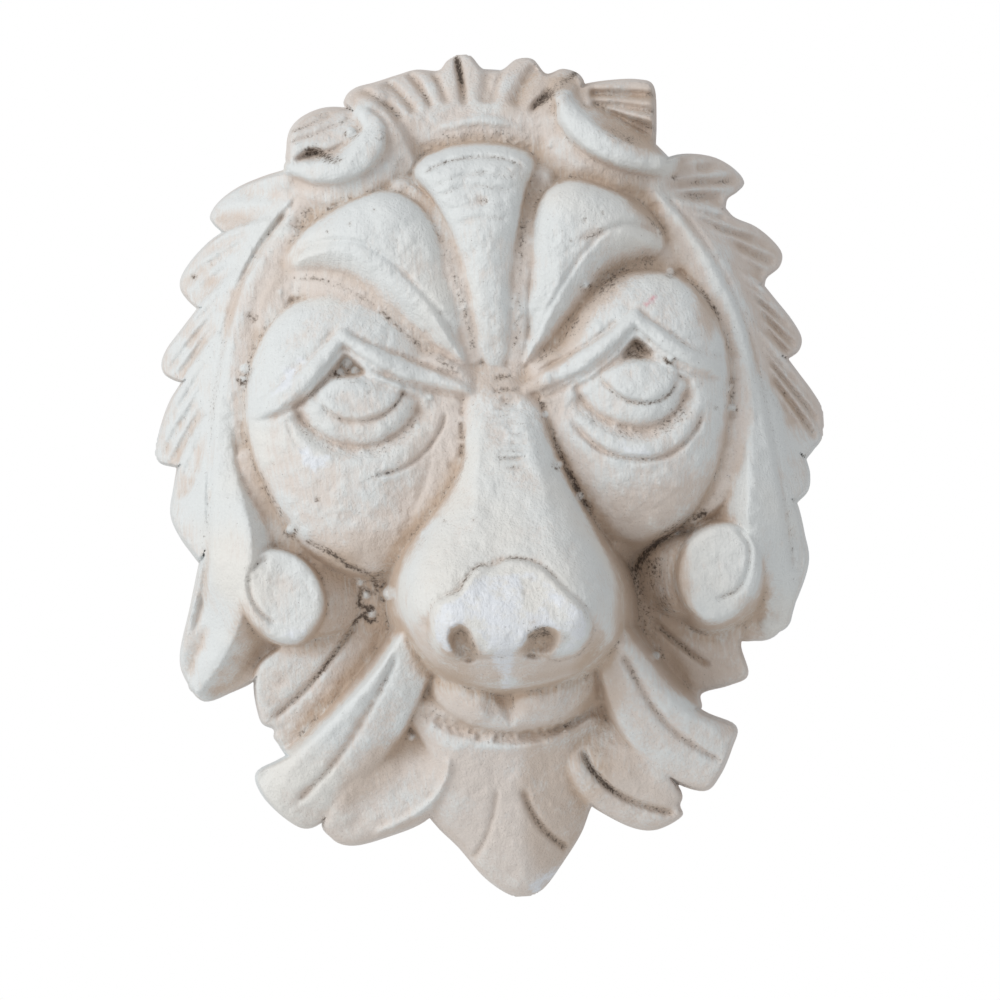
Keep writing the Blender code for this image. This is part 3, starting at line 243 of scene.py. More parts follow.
for spine, halves, levels in valley_floors:
    roll(spine, halves, levels, crown=0.5, radius=2, wall=2, fillet=1.5, white=0.12)

# The mane: five overlapping locks down each side of the head, darkened along the valleys of their ribs;
# the right side's stronger rib darkening and lower coat are partly painted shade.
# Each lock stands up along its upper edge and dips under the next, with ribs that meet at its root.
mane = {
    "left": {
        "roots": [(-43, 72), (-49, 66), (-56, 57), (-62.5, 43), (-66.5, 24), (-69.5, 0)],
        "edges": [
            [(-45.5, 77), (-52, 75.4), (-58, 73.2), (-62.6, 70.2), (-65, 67), (-64.4, 64.9), (-62.4, 62.8)],
            [
                (-62.4, 62.8), (-66, 60.4), (-70, 56.6), (-72.7, 52.8), (-73.1, 49.8), (-71.6, 47.2),
                (-69.4, 44.9),
            ],
            [
                (-69.4, 44.9), (-73.8, 39.8), (-77, 36), (-78.6, 32.6), (-78.2, 30), (-76.2, 28.4),
                (-74.2, 27.6),
            ],
            [(-74.2, 27.6), (-77.2, 23.3), (-79.5, 18), (-81.4, 11.6), (-80.3, 8.7), (-76.4, 7.4)],
            [(-76.4, 7.4), (-77.4, 3), (-78.6, -3.4), (-76.8, -9), (-72.6, -15.5)],
        ],
        "ribs": 3.5,
        "rib_depth": 0.75,
        "tilt": 2.6,
        "sharpness": 0.7,
        "white": 0.74,
        "rib_wash_and_shade": 0.3,
    },
    "right": {
        "roots": [(36, 70), (42.5, 65), (49, 55.5), (55.5, 42.5), (61.5, 25), (66.5, 0)],
        "edges": [
            [
                (41.8, 73.6), (48, 75), (55, 74), (60, 71), (62.4, 67.6), (60.8, 65.5), (58.3, 63.9),
                (57.6, 61.6),
            ],
            [
                (57.6, 61.6), (59.8, 59.1), (64.4, 56.8), (68.2, 53.4), (70.4, 50), (69.6, 46.9),
                (66.6, 44.6), (65.8, 42.6),
            ],
            [(65.8, 42.6), (68.6, 38.7), (71.8, 34.2), (73.9, 29.8), (73.1, 26.7), (70.4, 24.9)],
            [(70.4, 24.9), (73, 21), (76, 16.4), (78, 12), (77.6, 6), (75.2, 2.8), (73.4, 0.8)],
            [(73.4, 0.8), (74.1, -3), (73.4, -6.8), (70.6, -9.5)],
        ],
        "ribs": 4.5,
        "rib_depth": 1.4,
        "tilt": 3.8,
        "sharpness": 0.5,
        "white": 0.42,
        "rib_wash_and_shade": 1.4,
    },
}


def stain(spine, width, strength, fade=0.08):
    """Dark colour along a line, thick in some stretches and thin in others: dirt, and in a few places painted
    shade.
    """
    window, nearest, along, _ = follow(curve(spine), width * 3)
    patchy = np.clip(0.8 + 0.3 * lumps[window] + 0.15 * coarse_grit[window], 0.25, 1.3)
    darkening = strength * body_of_line(along, fade) * patchy * np.exp(-((nearest / width) ** 2))
    dirt_and_shade[window] = np.maximum(dirt_and_shade[window], darkening)


def stain_all(lines, fade=0.08):
    for line, width, strength in lines:
        stain(line, width, strength, fade)


longest_lock = 26
beyond = 30.0
root_level = 26.3
seam_room = 2.5
for side, locks in mane.items():
    turning = 1 if side == "left" else -1
    from_roots = np.full(grid_u.shape, beyond)
    window, nearest, _, _ = follow(curve(locks["roots"]), longest_lock)
    from_roots[window] = nearest
    for root, edge, next_root in zip(locks["roots"], locks["edges"], locks["roots"][1:]):
        ends = (root, next_root, edge[0], edge[-1])
        root, next_root, above, below = (np.array(point, float) for point in ends)
        seam = next_root - below
        under = np.array([-seam[1], seam[0]]) * -turning / np.hypot(*seam) * seam_room
        tucked = [below + seam * 0.08 + under * 0.6, below + seam * 0.4 + under, next_root + under]
        hidden = [*tucked, root, above]
        window, inward = enclosed(np.vstack([curve(edge), hidden]))
        place = np.stack([grid_u[window], grid_v[window]], -1)
        off_seam = np.abs((place - below) @ np.array([seam[1], -seam[0]])) / np.hypot(*seam)
        upper = root - above
        off_top = np.abs((place - above) @ np.array([upper[1], -upper[0]])) / np.hypot(*upper)
        rise = off_seam / (off_seam + off_top + 1e-6)
        reach = from_roots[window]
        phase = np.pi * locks["ribs"] * (rise + 0.02 * lumps[window])
        soft_ribs = 0.5 + 0.5 * np.cos(2 * phase)
        ribs = soft_ribs + (1 - np.abs(np.sin(phase)) - soft_ribs) * locks["sharpness"]
        body = root_level - 0.75 * reach - 0.025 * reach**2 + locks["tilt"] * (rise - 0.6) * ease(reach, 0, 5)
        body += 2 * locks["rib_depth"] * (ribs - 0.6) * ease(reach, 1.5, 6) * ease(inward, 0.3, 2.8)
        body += 1.2 * (dome(inward, 2.0) - 1) * ease(reach, 3, 9) + 3.5 * np.minimum(inward, 0)
        # Less coat in the rib valleys; the right side's larger amount is partly painted shade.
        white = locks["white"] - locks["rib_wash_and_shade"] * np.maximum(0.5 - ribs, 0) * ease(reach, 1, 5)
        join(window, body, inward, fillet=0.4, white=white)
        stain([below + seam * 0.3, below + seam * 0.8], width=0.7, strength=0.2)

# The side bands: a long leaf beside each cheek that widens down to its scroll and ends in a point.
# Their crests are rubbed pale, and a line is cut along the outer edge with a knife.
edge_wall = 12.0


def pad(outline, level, crown, radius, wall=5.0, fillet=0.8, white=0.3):
    """A raised field with a round edge; level is one height, or pairs of v and height."""
    window, inward = within(outline)
    top = between(grid_v[window], level) if isinstance(level, list) else level
    body = top + crown * (dome(inward, radius) - 1) + wall * np.minimum(inward, 0)
    join(window, body, inward, fillet, white)


def groove(spine, width, depth, fade=0.12, dirty=0.0):
    """A rounded groove that runs out at its ends, or a ridge where depth is below zero."""
    window, nearest, along, _ = follow(curve(spine), width * 2.5)
    height[window] -= depth * body_of_line(along, fade) * np.exp(-2 * (nearest / width) ** 2)
    if dirty:
        stain(spine, width * 0.5, dirty, fade)


bands = {
    "left": {
        "spine": [
            (-41, 71), (-50.4, 60.5), (-57, 48.5), (-62.5, 34), (-65.2, 18), (-66, 2), (-65, -12),
            (-66.5, -24), (-70, -35), (-74.5, -44.5),
        ],
        "halves": [1.6, 2.2, 2.5, 2.4, 2.6, 3.6, 5.6, 5.6, 4.6, 2.2],
        "levels": [26, 27.5, 29, 29.5, 30, 31.5, 36.5, 37.5, 27, 19],
        "leans": [0, 0, 0, 0, 0, 1, 3.5, 5, 5, 1],
        "leaf": [
            (-62, -6), (-69.5, -6), (-72.4, -15.5), (-75.2, -26), (-78.3, -37.5), (-77, -43.8),
            (-73.2, -48.6), (-66, -46.6), (-60.4, -43.8), (-55, -36), (-56, -20),
        ],
        "line": [
            (-46, 68), (-54.4, 57.6), (-60.6, 46), (-64.5, 33), (-67.2, 20), (-69, 5), (-70, -10),
            (-72, -23), (-75, -33),
        ],
    },
    "right": {
        "spine": [
            (40, 68), (46.5, 59), (53.2, 48), (57.9, 36), (60.8, 22), (62.8, 8), (63.6, -5),
            (63.8, -16), (65.5, -26), (63.8, -36),
        ],
        "halves": [1.5, 2.1, 2.3, 2.4, 2.6, 3.4, 4.4, 5.4, 5.2, 4.0],
        "levels": [26, 28.5, 30.2, 30.4, 30.6, 32, 36, 37.5, 31, 21],
        "leans": [0, 0, 0, 0, 0, -1, -3, -4, -4, 0],
        "leaf": [
            (60, 0), (68, -4), (70.6, -9.5), (72, -17), (72.5, -24.3), (68.2, -34.5), (63.4, -41),
            (57, -41.2), (52, -36), (52, -20),
        ],
        "line": [
            (42.4, 67), (49.8, 57.6), (56.4, 46), (60.8, 34), (63.6, 21), (65.8, 8), (67.4, -5),
            (68.6, -18), (69.2, -27),
        ],
    },
}
band_walls = [4, 4, 4, 4, 3.5, 2.4, 1.5, 1.4, 1.4, 1.4]
leaf_levels = [(-50, 10), (-40, 17), (-28, 24), (-5, 25)]
for band in bands.values():
    roll(
        band["spine"], band["halves"], band["levels"],
        crown=2.2, radius=2.8, wall=band_walls, leans=band["leans"], white=1.0,
    )
    pad(band["leaf"], leaf_levels, crown=1.5, radius=2.5, wall=edge_wall, white=0.75)
    groove(band["line"], width=1.2, depth=2.0, fade=0.04, dirty=0.25)

# The tuft: the crest over the forehead, a fan of ridges and flutes that ends in a ragged edge.
# A low fillet bounds it below, where the forehead starts; two of its flutes are cut deep and dirty.
tuft = {
    "outline": [
        (-22, 84), (-30.8, 90.3), (-31.2, 93.2), (-28.6, 95.3), (-24, 96.3), (-18.6, 97.7),
        (-14, 98.7), (-8.8, 98.2), (-6.6, 100.3), (-4, 101.7), (-1, 101.3), (1.4, 98.3),
        (4.4, 97.1), (7, 97.8), (10, 99.8), (13.8, 99.6), (16.8, 96), (21, 96.9), (25, 95),
        (25, 91), (18, 82), (0, 76),
    ],
    "levels": [(78, 27), (85, 27), (89, 25.5), (94, 20), (98, 15.5), (102, 12)],
    "flutes": [
        ((-17.5, 86.5), (-27.5, 94.8), 1.5, 2.3, 0.45),
        ((-14.5, 88), (-21.6, 96.5), 1.2, 2.2, 0.45),
        ((-10.6, 89), (-16.2, 98.2), 1.2, 2.3, 0.55),
        ((-7, 90), (-10.4, 98.2), 1.1, 2.0, 0.5),
        ((-2.9, 89), (-4.3, 101.6), 1.2, 3.2, 1.3),
        ((1.8, 89.5), (3.2, 97.5), 2.2, 2.2, 0.2),
        ((3.4, 89.5), (6.6, 97.6), 1.1, 1.8, 0.3),
        ((8.6, 88.4), (14.6, 97.8), 2.2, 2.8, 0.35),
        ((12, 86.8), (24.8, 96.2), 1.2, 3.2, 1.3),
        ((16, 85.5), (24.8, 92.3), 0.9, 1.5, 0.4),
    ],
    "fillet": [(-14.5, 81.8), (-7.5, 84.8), (-0.5, 85.7), (6.8, 84.7), (13.2, 81.6)],
    "groove": [(-15.5, 79.2), (-8, 81.6), (-0.5, 82.7), (6.8, 81.6), (13.2, 78.6)],
}
pad(tuft["outline"], tuft["levels"], crown=1.6, radius=2.2, wall=edge_wall, white=0.22)


def swung(inner, outer):
    """A line from one point to another that first runs up and then bends outward."""
    middle = (inner[0] * 0.55 + outer[0] * 0.45, inner[1] * 0.45 + outer[1] * 0.55)
    return [inner, middle, outer]


for inner, outer, width, depth, dirty in tuft["flutes"]:
    past = (outer[0] * 1.1 - inner[0] * 0.1, outer[1] * 1.1 - inner[1] * 0.1)
    groove(swung(inner, past), width, depth, fade=0.16, dirty=dirty)
stain([(14.5, 88.4), (20, 92.6), (24.2, 96)], width=0.8, strength=0.85)
fillet_halves = [0.5, 1.0, 1.2, 1.0, 0.5]
fillet_levels = [26.2, 28.1, 28.6, 28.1, 26.2]
groove_halves = [1.6, 2.2, 2.2, 2.2, 1.6]
groove_levels = [26, 27.4, 27.8, 27.4, 26]
roll(tuft["fillet"], fillet_halves, fillet_levels, crown=0.8, radius=1.3, wall=1.5, white=0.3)
roll(tuft["groove"], groove_halves, groove_levels, crown=0.3, radius=1.4, wall=1, white=0.0)
stain(tuft["groove"], width=1.2, strength=0.35)

# The low leaves: broad flat leaves that show between the scrolls and the moustache.
# They lie deep, so they keep the warm wash, with one dark vein cut on each side.
low_leaves = {
    "pads": [
        (
            [
                (-30, -20), (-50, -34), (-60.3, -42), (-60.2, -53.5), (-57, -56.3), (-56.6, -59),
                (-50, -64), (-30, -50),
            ],
            [(-64, 14), (-52, 19), (-40, 24), (-25, 28)],
        ),
        (
            [(-74, -44), (-70.5, -47.6), (-61, -44.4), (-52, -37), (-60, -24), (-68, -26)],
            [(-48, 13), (-38, 17), (-28, 21)],
        ),
        (
            [
                (28, -22), (45, -32), (55.6, -37), (55.3, -43), (56.6, -49.8), (52, -52),
                (45.3, -53.6), (44.6, -57.5), (36, -58), (26, -42),
            ],
            [(-60, 13), (-50, 17.5), (-40, 21), (-25, 24)],
        ),
        (
            [(52, -40.5), (62.8, -41), (68.5, -33.5), (66, -22), (58, -22), (52, -32)],
            [(-42, 14), (-34, 19), (-24, 24)],
        ),
    ],
    "veins": [
        [(-35, -31), (-41, -38.5), (-48, -46.3), (-58, -54.5)],
        [(34, -35), (39, -40), (44, -44.5), (48, -47.5)],
    ],
}
left_white = 0.4
right_white = 0.1
for outline, levels in low_leaves["pads"]:
    leaf_white = left_white if outline[0][0] < 0 else right_white
    pad(outline, levels, crown=1.5, radius=2.5, wall=edge_wall, white=leaf_white)
for vein in low_leaves["veins"]:
    groove(vein, width=1.1, depth=1.8, fade=0.12, dirty=0.7)

# The ears: a ribbed shell with a hollow in it, behind a thick rolled rim, on each side of the tuft.
# The left one is nearly closed, with grit in its slit; the right one opens in a fan of ribs.
ears = {
    "left": {
        "shell": [
            (-29, 90.4), (-36, 91), (-41.5, 89.3), (-44.8, 86.3), (-45.9, 82), (-45.6, 77.3), (-38, 72),
            (-28, 73), (-20, 78), (-18, 84), (-22, 89.5),
        ],
        "level": [(72, 30), (81, 30), (86, 28), (91, 22)],
        "wall": [(-45, 74.5), (-38, 72.2), (-29, 73.2), (-22.2, 78), (-19.8, 84)],
        "wall_levels": [27, 30, 31.5, 31.5, 27],
        "hollow": [
            (-44, 79), (-40.5, 81.6), (-36, 81), (-32, 82.4), (-28.6, 81.6), (-30.4, 78.8), (-37, 77.8),
        ],
        "depth": 3.5,
        "slope": 1.8,
        "ribs": [
            [(-45.5, 83.2), (-40, 84.6), (-34, 86.6), (-30, 88.6)],
            [(-45, 85.6), (-40, 87.2), (-34.5, 89.4)],
        ],
        "rib_width": 0.8,
        "rib_depth": 0.8,
        "rim": [(-45.2, 77.4), (-38.5, 75.9), (-31.5, 77), (-26.6, 80.5), (-24.9, 85), (-27, 88.8)],
        "halves": [1.6, 2.4, 2.9, 3.1, 3.0, 1.8],
        "rim_levels": [30.5, 34, 35.8, 36.2, 34.5, 29.5],
        "stains": [
            ([(-43, 79.6), (-40.4, 80.8), (-37.4, 79.8), (-34.6, 78.4), (-31.6, 79.4)], 1.1, 0.95),
            ([(-37.6, 90), (-37.9, 87.4)], 0.4, 0.7),
            ([(-31.5, 84.8), (-29.5, 83.6)], 0.6, 0.5),
            ([(-24, 83), (-23.4, 85.5)], 0.5, 0.3),
        ],
    },
    "right": {
        "shell": [
            (22, 91), (25.5, 92.9), (32, 93.6), (38.6, 93.4), (42.2, 91.6), (42.4, 84), (41.6, 76), (40, 71),
            (30, 72), (22, 78),
        ],
        "level": [(71, 29), (80, 29), (86, 27), (93, 21)],
        "wall": [(17.5, 85), (20, 80), (25, 75.2), (32, 71.6), (40.5, 69.5)],
        "wall_levels": [27, 29.5, 30.5, 29.5, 26],
        "hollow": [
            (25, 87.4), (30, 86.8), (36, 84.2), (42.4, 81), (42.4, 75.8), (36, 77.4), (30, 80.8),
            (25.8, 84.4),
        ],
        "depth": 12.0,
        "slope": 3.4,
        "ribs": [
            [(26.4, 90.8), (34, 90.3), (43.5, 89.2)],
            [(26.8, 88.4), (34, 87.3), (43.5, 85.2)],
            [(28.8, 86.5), (35, 84.7), (43.5, 81)],
        ],
        "rib_width": 1.5,
        "rib_depth": 3.4,
        "rim": [(20.6, 89.4), (22.6, 84.8), (27.4, 79.9), (33.4, 76.3), (41.4, 73.4)],
        "halves": [1.9, 2.8, 3.1, 2.9, 2.2],
        "rim_levels": [30.5, 34.2, 35.6, 35.2, 32.2],
        "stains": [
            ([(34.6, 79.6), (37, 79.2)], 0.9, 1.3),
            # This broad band darkens the hollow: painted shade, with some dirt.
            ([(28, 84), (33, 80.9), (40, 78.2)], 2.0, 0.38),
        ],
    },
}


def dip(outline, depth, slope):
    """A hollow with sloping sides, or a swelling where depth is below zero."""
    window, inward = within(outline)
    height[window] -= depth * ease(inward, -0.3 * slope, slope)


wall_halves = [3, 4, 4, 4, 3]
for ear in ears.values():
    pad(ear["shell"], ear["level"], crown=2.0, radius=2.5, wall=9, white=0.25)
    roll(ear["wall"], wall_halves, ear["wall_levels"], crown=1.5, radius=4, wall=1.3, fillet=2, white=0.35)
    dip(ear["hollow"], ear["depth"], ear["slope"])
    for rib in ear["ribs"]:
        groove(rib, ear["rib_width"], ear["rib_depth"], fade=0.08, dirty=0.5)
    roll(
        ear["rim"], ear["halves"], ear["rim_levels"],
        crown=2.0, radius=2.6, wall=2.6, fillet=0.6, white=0.75,
    )
    stain_all(ear["stains"], fade=0.2)

# The beard: the chin runs down to a blunt point, with a leaf of beard on each side of it.
# It hangs under the muzzle in the warm wash, with one raised vein and dust in the ones that are cut.
beard = {
    "chin": [
        (-25, -50), (-21, -64), (-21.5, -77), (-19.5, -81.5), (-14.5, -87), (-9, -94.2), (-3.5, -98.6),
        (0.5, -99.6), (5, -97.8), (10, -91.8), (14.6, -85.3), (17.2, -79.5), (20, -74), (21, -64),
        (25, -50), (0, -44),
    ],
    "chin_levels": [(-100, 10), (-90, 16), (-80, 21.5), (-70, 27), (-62, 31.5), (-50, 34)],
    "chin_grooves": [
        ([(-4.6, -73), (-5.8, -79), (-8, -85), (-11.8, -90.5)], 0.9, 1.2, 0.45),
        ([(1.3, -73.5), (3, -79), (6.5, -84.5), (11.8, -89.3)], 1.3, 2.2, 0.8),
    ],
    "leaves": [
        {
            "outline": [
                (-32, -60), (-46, -77), (-44.6, -83), (-39.5, -85), (-31, -83.3), (-22.5, -80.3),
                (-17, -75), (-14.5, -69.5), (-15.3, -64.3), (-20, -58),
            ],
            "vein": [(-15.8, -65), (-16.6, -70), (-20, -75.3), (-27, -79.8), (-35, -82.6)],
            "width": 1.3,
            "depth": -1.8,
            "dirty": 0.0,
        },
        {
            "outline": [
                (26, -58), (38.3, -75), (38.6, -80), (38.8, -82.6), (33, -85.3), (27.5, -84.7),
                (21, -81.2), (16, -77.2), (12.7, -71), (13.3, -66), (17, -61),
            ],
            "vein": [(16, -64.5), (18, -70), (23, -75.6), (30, -79.5), (38, -82)],
            "width": 1.2,
            "depth": 2.4,
            "dirty": 0.9,
        },
    ],
    "hollow": [
        (-19.5, -69), (-24, -76), (-33, -79.8), (-41, -82), (-40, -74), (-29, -62), (-21, -58),
    ],
}
window, inward = within(beard["chin"])
body = between(grid_v[window], beard["chin_levels"]) + 6 * (dome(inward, 12) - 1)
body -= 0.33 * np.maximum(grid_u[window] - 1, 0) + edge_wall * np.maximum(-inward, 0)
join(window, body, inward, fillet=0.8, white=0.12)
for spine, width, depth, dirty in beard["chin_grooves"]:
    groove(spine, width, depth, fade=0.1, dirty=dirty)
beard_levels = [(-86, 15), (-76, 22.5), (-68, 26), (-58, 24)]
for leaf in beard["leaves"]:
    pad(leaf["outline"], beard_levels, crown=2.5, radius=2.8, wall=6, fillet=0.6, white=0.22)
    groove(leaf["vein"], leaf["width"], leaf["depth"], fade=0.08, dirty=leaf["dirty"])
dip(beard["hollow"], depth=1.3, slope=5)

# The moustache: a broad strand of two rolls that sweeps down from each side of the muzzle.
# Its upper rolls are rubbed nearly white, down to a blunt cut end.
moustaches = {
    "left": {
        "outline": [
            (-23, -33), (-31, -42.5), (-40, -51.5), (-50, -60.3), (-56, -63.5), (-61.8, -66.5),
            (-60.5, -72), (-55, -78), (-50, -80.3), (-44, -77), (-34, -68.3), (-26.5, -59),
            (-20, -47.5), (-16, -38),
        ],
        "crest": [(-20, -34), (-27, -43.5), (-33.5, -53.3), (-41.5, -64), (-52, -75), (-57, -80)],
        "roll": [(-25.5, -37), (-34, -47.5), (-44, -57.5), (-56.5, -68.6)],
        "groove": [(-26, -39), (-30.5, -47), (-36, -55.6), (-43, -65), (-53.4, -74.8)],
        "dirty": 0.45,
        "white": 0.7,
    },
    "right": {
        "outline": [
            (24, -32), (31, -41.5), (38, -51), (45.5, -57.8), (53, -61.8), (51.8, -67),
            (48.5, -73.5), (44.6, -76.8), (37, -74), (30, -68.5), (24.5, -59), (21.5, -48), (18, -38),
        ],
        "crest": [(20, -34), (24.5, -43.5), (30, -56), (37, -65), (46, -71.5), (53, -76)],
        "roll": [(25, -37), (31.5, -47), (39, -56.5), (51, -63.5)],
        "groove": [(26.5, -42), (29.6, -48.5), (34, -56.8), (40.5, -64.2), (50, -70.6)],
        "dirty": 0.6,
        "white": 0.36,
    },
}
strand_levels = [(-80, 20), (-60, 33), (-45, 40), (-33, 44)]
strand_reach = 11.0
for strand in moustaches.values():
    from_crest = np.full(grid_u.shape, strand_reach)
    window, nearest, _, _ = follow(curve(strand["crest"]), strand_reach)
    from_crest[window] = np.minimum(nearest, strand_reach)
    window, inward = within(strand["outline"])
    arch = np.sqrt(1 - (from_crest[window] / 11.5) ** 2)
    body = between(grid_v[window], strand_levels) + 8 * (arch - 1) + 1.2 * (dome(inward, 1.5) - 1)
    join(window, body + 6 * np.minimum(inward, 0), inward, fillet=0.5, white=strand["white"])
    groove(strand["roll"], width=2.6, depth=-1.0, fade=0.1)
    groove(strand["groove"], width=1.2, depth=1.7, fade=0.08, dirty=strand["dirty"])

# The eye mounds: the great round swelling on each side of the nose that holds the eye and the cheek.
# They are the broadest smooth fields of the face, so the brush marks of the pale coat show on them.
mounds = {
    "left": {
        "centre": (-33.6, 13.2),
        "half_width": 24.8,
        "half_height": 34.3,
        "turn": 11,
        "squareness": 2.15,
    },
    "right": {
        "centre": (34.0, 15.8),
        "half_width": 22.0,
        "half_height": 32.4,
        "turn": -8,
        "squareness": 2.2,
    },
}
mound_foot = 32
mound_swell = 14
for mound in mounds.values():
    turn = np.radians(mound["turn"])
    du = grid_u - mound["centre"][0]
    dv = grid_v - mound["centre"][1]
    out_across = np.abs(du * np.cos(turn) + dv * np.sin(turn)) / mound["half_width"]
    out_up = np.abs(dv * np.cos(turn) - du * np.sin(turn)) / mound["half_height"]
    out = (out_across ** mound["squareness"] + out_up ** mound["squareness"]) ** (1 / mound["squareness"])
    swell = np.sqrt(np.clip(1 - np.minimum(out, 1) ** 2.3, 0, 1))
    body = mound_foot + mound_swell * swell - 90 * np.maximum(out - 1, 0)
    toward_nose = np.sign(mound["centre"][0]) * -du / mound["half_width"]
    warm_side = ease(toward_nose, 0.35, 0.9) * ease(30 - grid_v, 0, 14)
    # The coat thins towards the bottom of each mound: partly the dragged coat, partly painted shade on the
    # lower cheek.
    white = 0.28 + 0.42 * ease(grid_v, -14, 30) - 0.35 * warm_side
    join(np.s_[:, :], body, (1 - out) * 25, fillet=1.2, white=white)
inner_slopes = (
    (
        [(-14, 26), (-9.5, 22), (-10.5, 12), (-11, 4), (-15, -5), (-22, -15)],
        [4.5, 5, 5, 4.5, 4, 4], [41, 41.5, 42.5, 43, 43, 39],
    ),
    (
        [(16, 25), (12, 21), (13.5, 12), (16, 3), (19.5, -5), (24.5, -15)],
        [4.5, 5, 5, 4.5, 4, 4], [40.5, 41, 41.5, 40.5, 38, 33],
    ),
)
for spine, halves, levels in inner_slopes:
    roll(spine, halves, levels, crown=1.5, radius=4, wall=1.6, fillet=3.0, white=0.1)
mound_edges = [
    ([(-56.8, 6), (-55.6, 1.5), (-52.6, -4.5), (-50, -9)], 0.45, 0.6),
    ([(-47.5, -11.5), (-42, -14.5), (-37, -18), (-32, -21)], 0.5, 0.75),
    ([(-45, 62.5), (-43, 65.5), (-41, 67.5)], 1.2, 0.55),
    ([(-57.5, 43.5), (-55.5, 41)], 0.9, 0.45),
    ([(50, -10), (45, -12.2), (38, -16), (33, -20.5), (30.5, -25)], 0.8, 0.85),
    ([(39, 62), (41.5, 58.5), (43, 56)], 1.1, 0.7),
    ([(46, 47.5), (49, 44), (53.5, 38), (54.6, 34)], 0.6, 0.5),
    ([(56.6, 22), (56.4, 16), (56.8, 11)], 0.8, 0.7),
    ([(-7.2, 22), (-8, 14), (-8.5, 5), (-10.5, 0), (-14, -5)], 0.45, 0.75),
    ([(10.5, 21), (12.5, 13), (15, 5), (18.5, -3), (22, -10)], 0.7, 0.85),
]
for line, width, strength in mound_edges:
    groove(line, width * 2, strength, fade=0.1)
    stain(line, width * 1.2, strength * 1.2)

# The brows: a drop-shaped lobe of the forehead over each eye, the whitest part of the mask with the nose.
# Below a cut crease the lobe rolls under, down to the crack where it meets the eye mound.
brows = {
    "left": {
        "outline": [
            (-3.8, 28.5), (-6.3, 42), (-9.8, 58), (-15, 66.5), (-22.5, 70), (-32, 68), (-41, 62.8),
            (-46.4, 58.2), (-48, 54.6), (-46, 51.8), (-40, 50.6), (-33.5, 47.8), (-22, 37.8), (-12, 28.8),
            (-7, 25.8),
        ],
        "crease": [
            (-45.5, 56.6), (-41.5, 58.6), (-36, 59.4), (-29, 58), (-22, 53), (-16, 46.3), (-11, 39.6),
            (-7, 31.5),
        ],
        "crack": [
            (-48, 51), (-40, 50.2), (-33.5, 47.5), (-27, 43), (-22, 37.8), (-17, 33.2), (-12, 29),
            (-7, 25.5),
        ],
        "root": [(-12.5, 63.5), (-8.6, 52), (-5.9, 41), (-4, 30)],
    },
    "right": {
        "outline": [
            (6, 26.5), (8.2, 40), (10.5, 58), (14.5, 67.3), (21, 70), (29, 68), (37, 63),
            (41.8, 57.4), (42.6, 53.8), (40.8, 51.4), (36, 50.3), (30, 47.6), (24, 41.5), (16, 32.5),
            (9.5, 26.5),
        ],
        "crease": [
            (43, 54.8), (39.5, 57.6), (34.5, 59.2), (29, 58), (23.5, 53.2), (18, 46.2), (13.2, 38), (9.2, 30),
        ],
        "crack": [(42, 50.5), (36, 49.8), (30, 46.6), (24, 40.6), (16.5, 32), (9.5, 26.3)],
        "root": [(9.6, 63.5), (8.2, 52), (6.9, 41), (5.6, 30)],
    },
}
far_off = 20.0
lobe_radius = 9.0
lobe_swell = 8.5
for brow in brows.values():
    window, inward = within(brow["outline"])
    from_crack = np.full(grid_u.shape, far_off)
    near, nearest, _, _ = follow(curve(brow["crack"]), 12)
    from_crack[near] = nearest
    rolled_under = ease(12 - from_crack[window], 0, 5)
    upper_swell = dome(inward, lobe_radius)
    lower_swell = np.sin(np.pi / 2 * np.clip(inward / lobe_radius, 0, 1)) ** 1.15
    falling = 0.17 * np.maximum(np.abs(grid_u[window]) - 24, 0)
    body = 34.5 + 0.06 * np.clip(50 - grid_v[window], 0, 30) - falling
    swell = upper_swell + (lower_swell - upper_swell) * rolled_under
    body += lobe_swell * swell + 5 * np.minimum(inward, 0)
    join(window, body, inward, fillet=0.5, white=0.95)
    # Just above the crack, where the lobe rolls under, the coat is thinned: partly the wash, partly painted
    # shade.
    coat[window] -= 0.45 * ease(4.4 - from_crack[window], 0, 2.5) * ease(inward, -0.5, 0.5)
    groove(brow["crease"], width=0.9, depth=1.0, fade=0.08, dirty=0.12)
    stain(brow["crack"], width=0.45, strength=0.9)
    stain(brow["root"], width=0.8, strength=0.6)
# A broad dark band under the right brow, along its crack: painted shade.
stain([(41, 51), (34, 49.4), (28, 45.5), (22, 38.5), (17, 32)], width=2.6, strength=0.5)

# The wedge: the flared middle of the forehead, from the fillet of the tuft down to the nose.
# Shallow arcs cross its top, and its paint is chipped in a few places.
wedge = {
    "outline": [
        (1, 26.5), (-2.4, 29), (-4, 38), (-5.6, 50), (-8.6, 61), (-12.6, 69), (-15.4, 73.4),
        (-14, 76.6), (-8, 79.3), (-1, 80.2), (6, 79.3), (11.2, 76.8), (12.4, 73.8), (10.4, 69), (8.2, 60),
        (6.4, 50), (5.2, 38),
        (4.2, 29),
    ],
    "levels": [(27, 36.5), (40, 38), (60, 37.5), (80, 32.5)],
    "crowns": [(27, 2), (40, 4), (60, 6.5), (75, 7)],
    "radii": [(27, 2.5), (40, 4), (60, 7), (75, 8)],
    "arcs": [
        ([(-14.5, 73.6), (-9, 76.2), (-1, 77.2), (6, 76.3), (11.5, 73.3)], 1.2, 0.55),
        ([(-12, 70.6), (-5, 73), (1, 73.4), (8.6, 71.4)], 0.5, 0.25),
        ([(-10.6, 68.4), (-3, 70.5), (7.6, 68.6)], 0.7, 0.4),
        ([(-8.6, 64.8), (-1, 66.4), (6.4, 65)], 0.4, 0.15),
        ([(-7, 61.6), (0, 62.8), (5.6, 61.8)], 0.55, 0.36),
    ],
}
window, inward = within(wedge["outline"])
wedge_v = grid_v[window]
body = between(wedge_v, wedge["levels"]) + 6 * np.minimum(inward, 0)
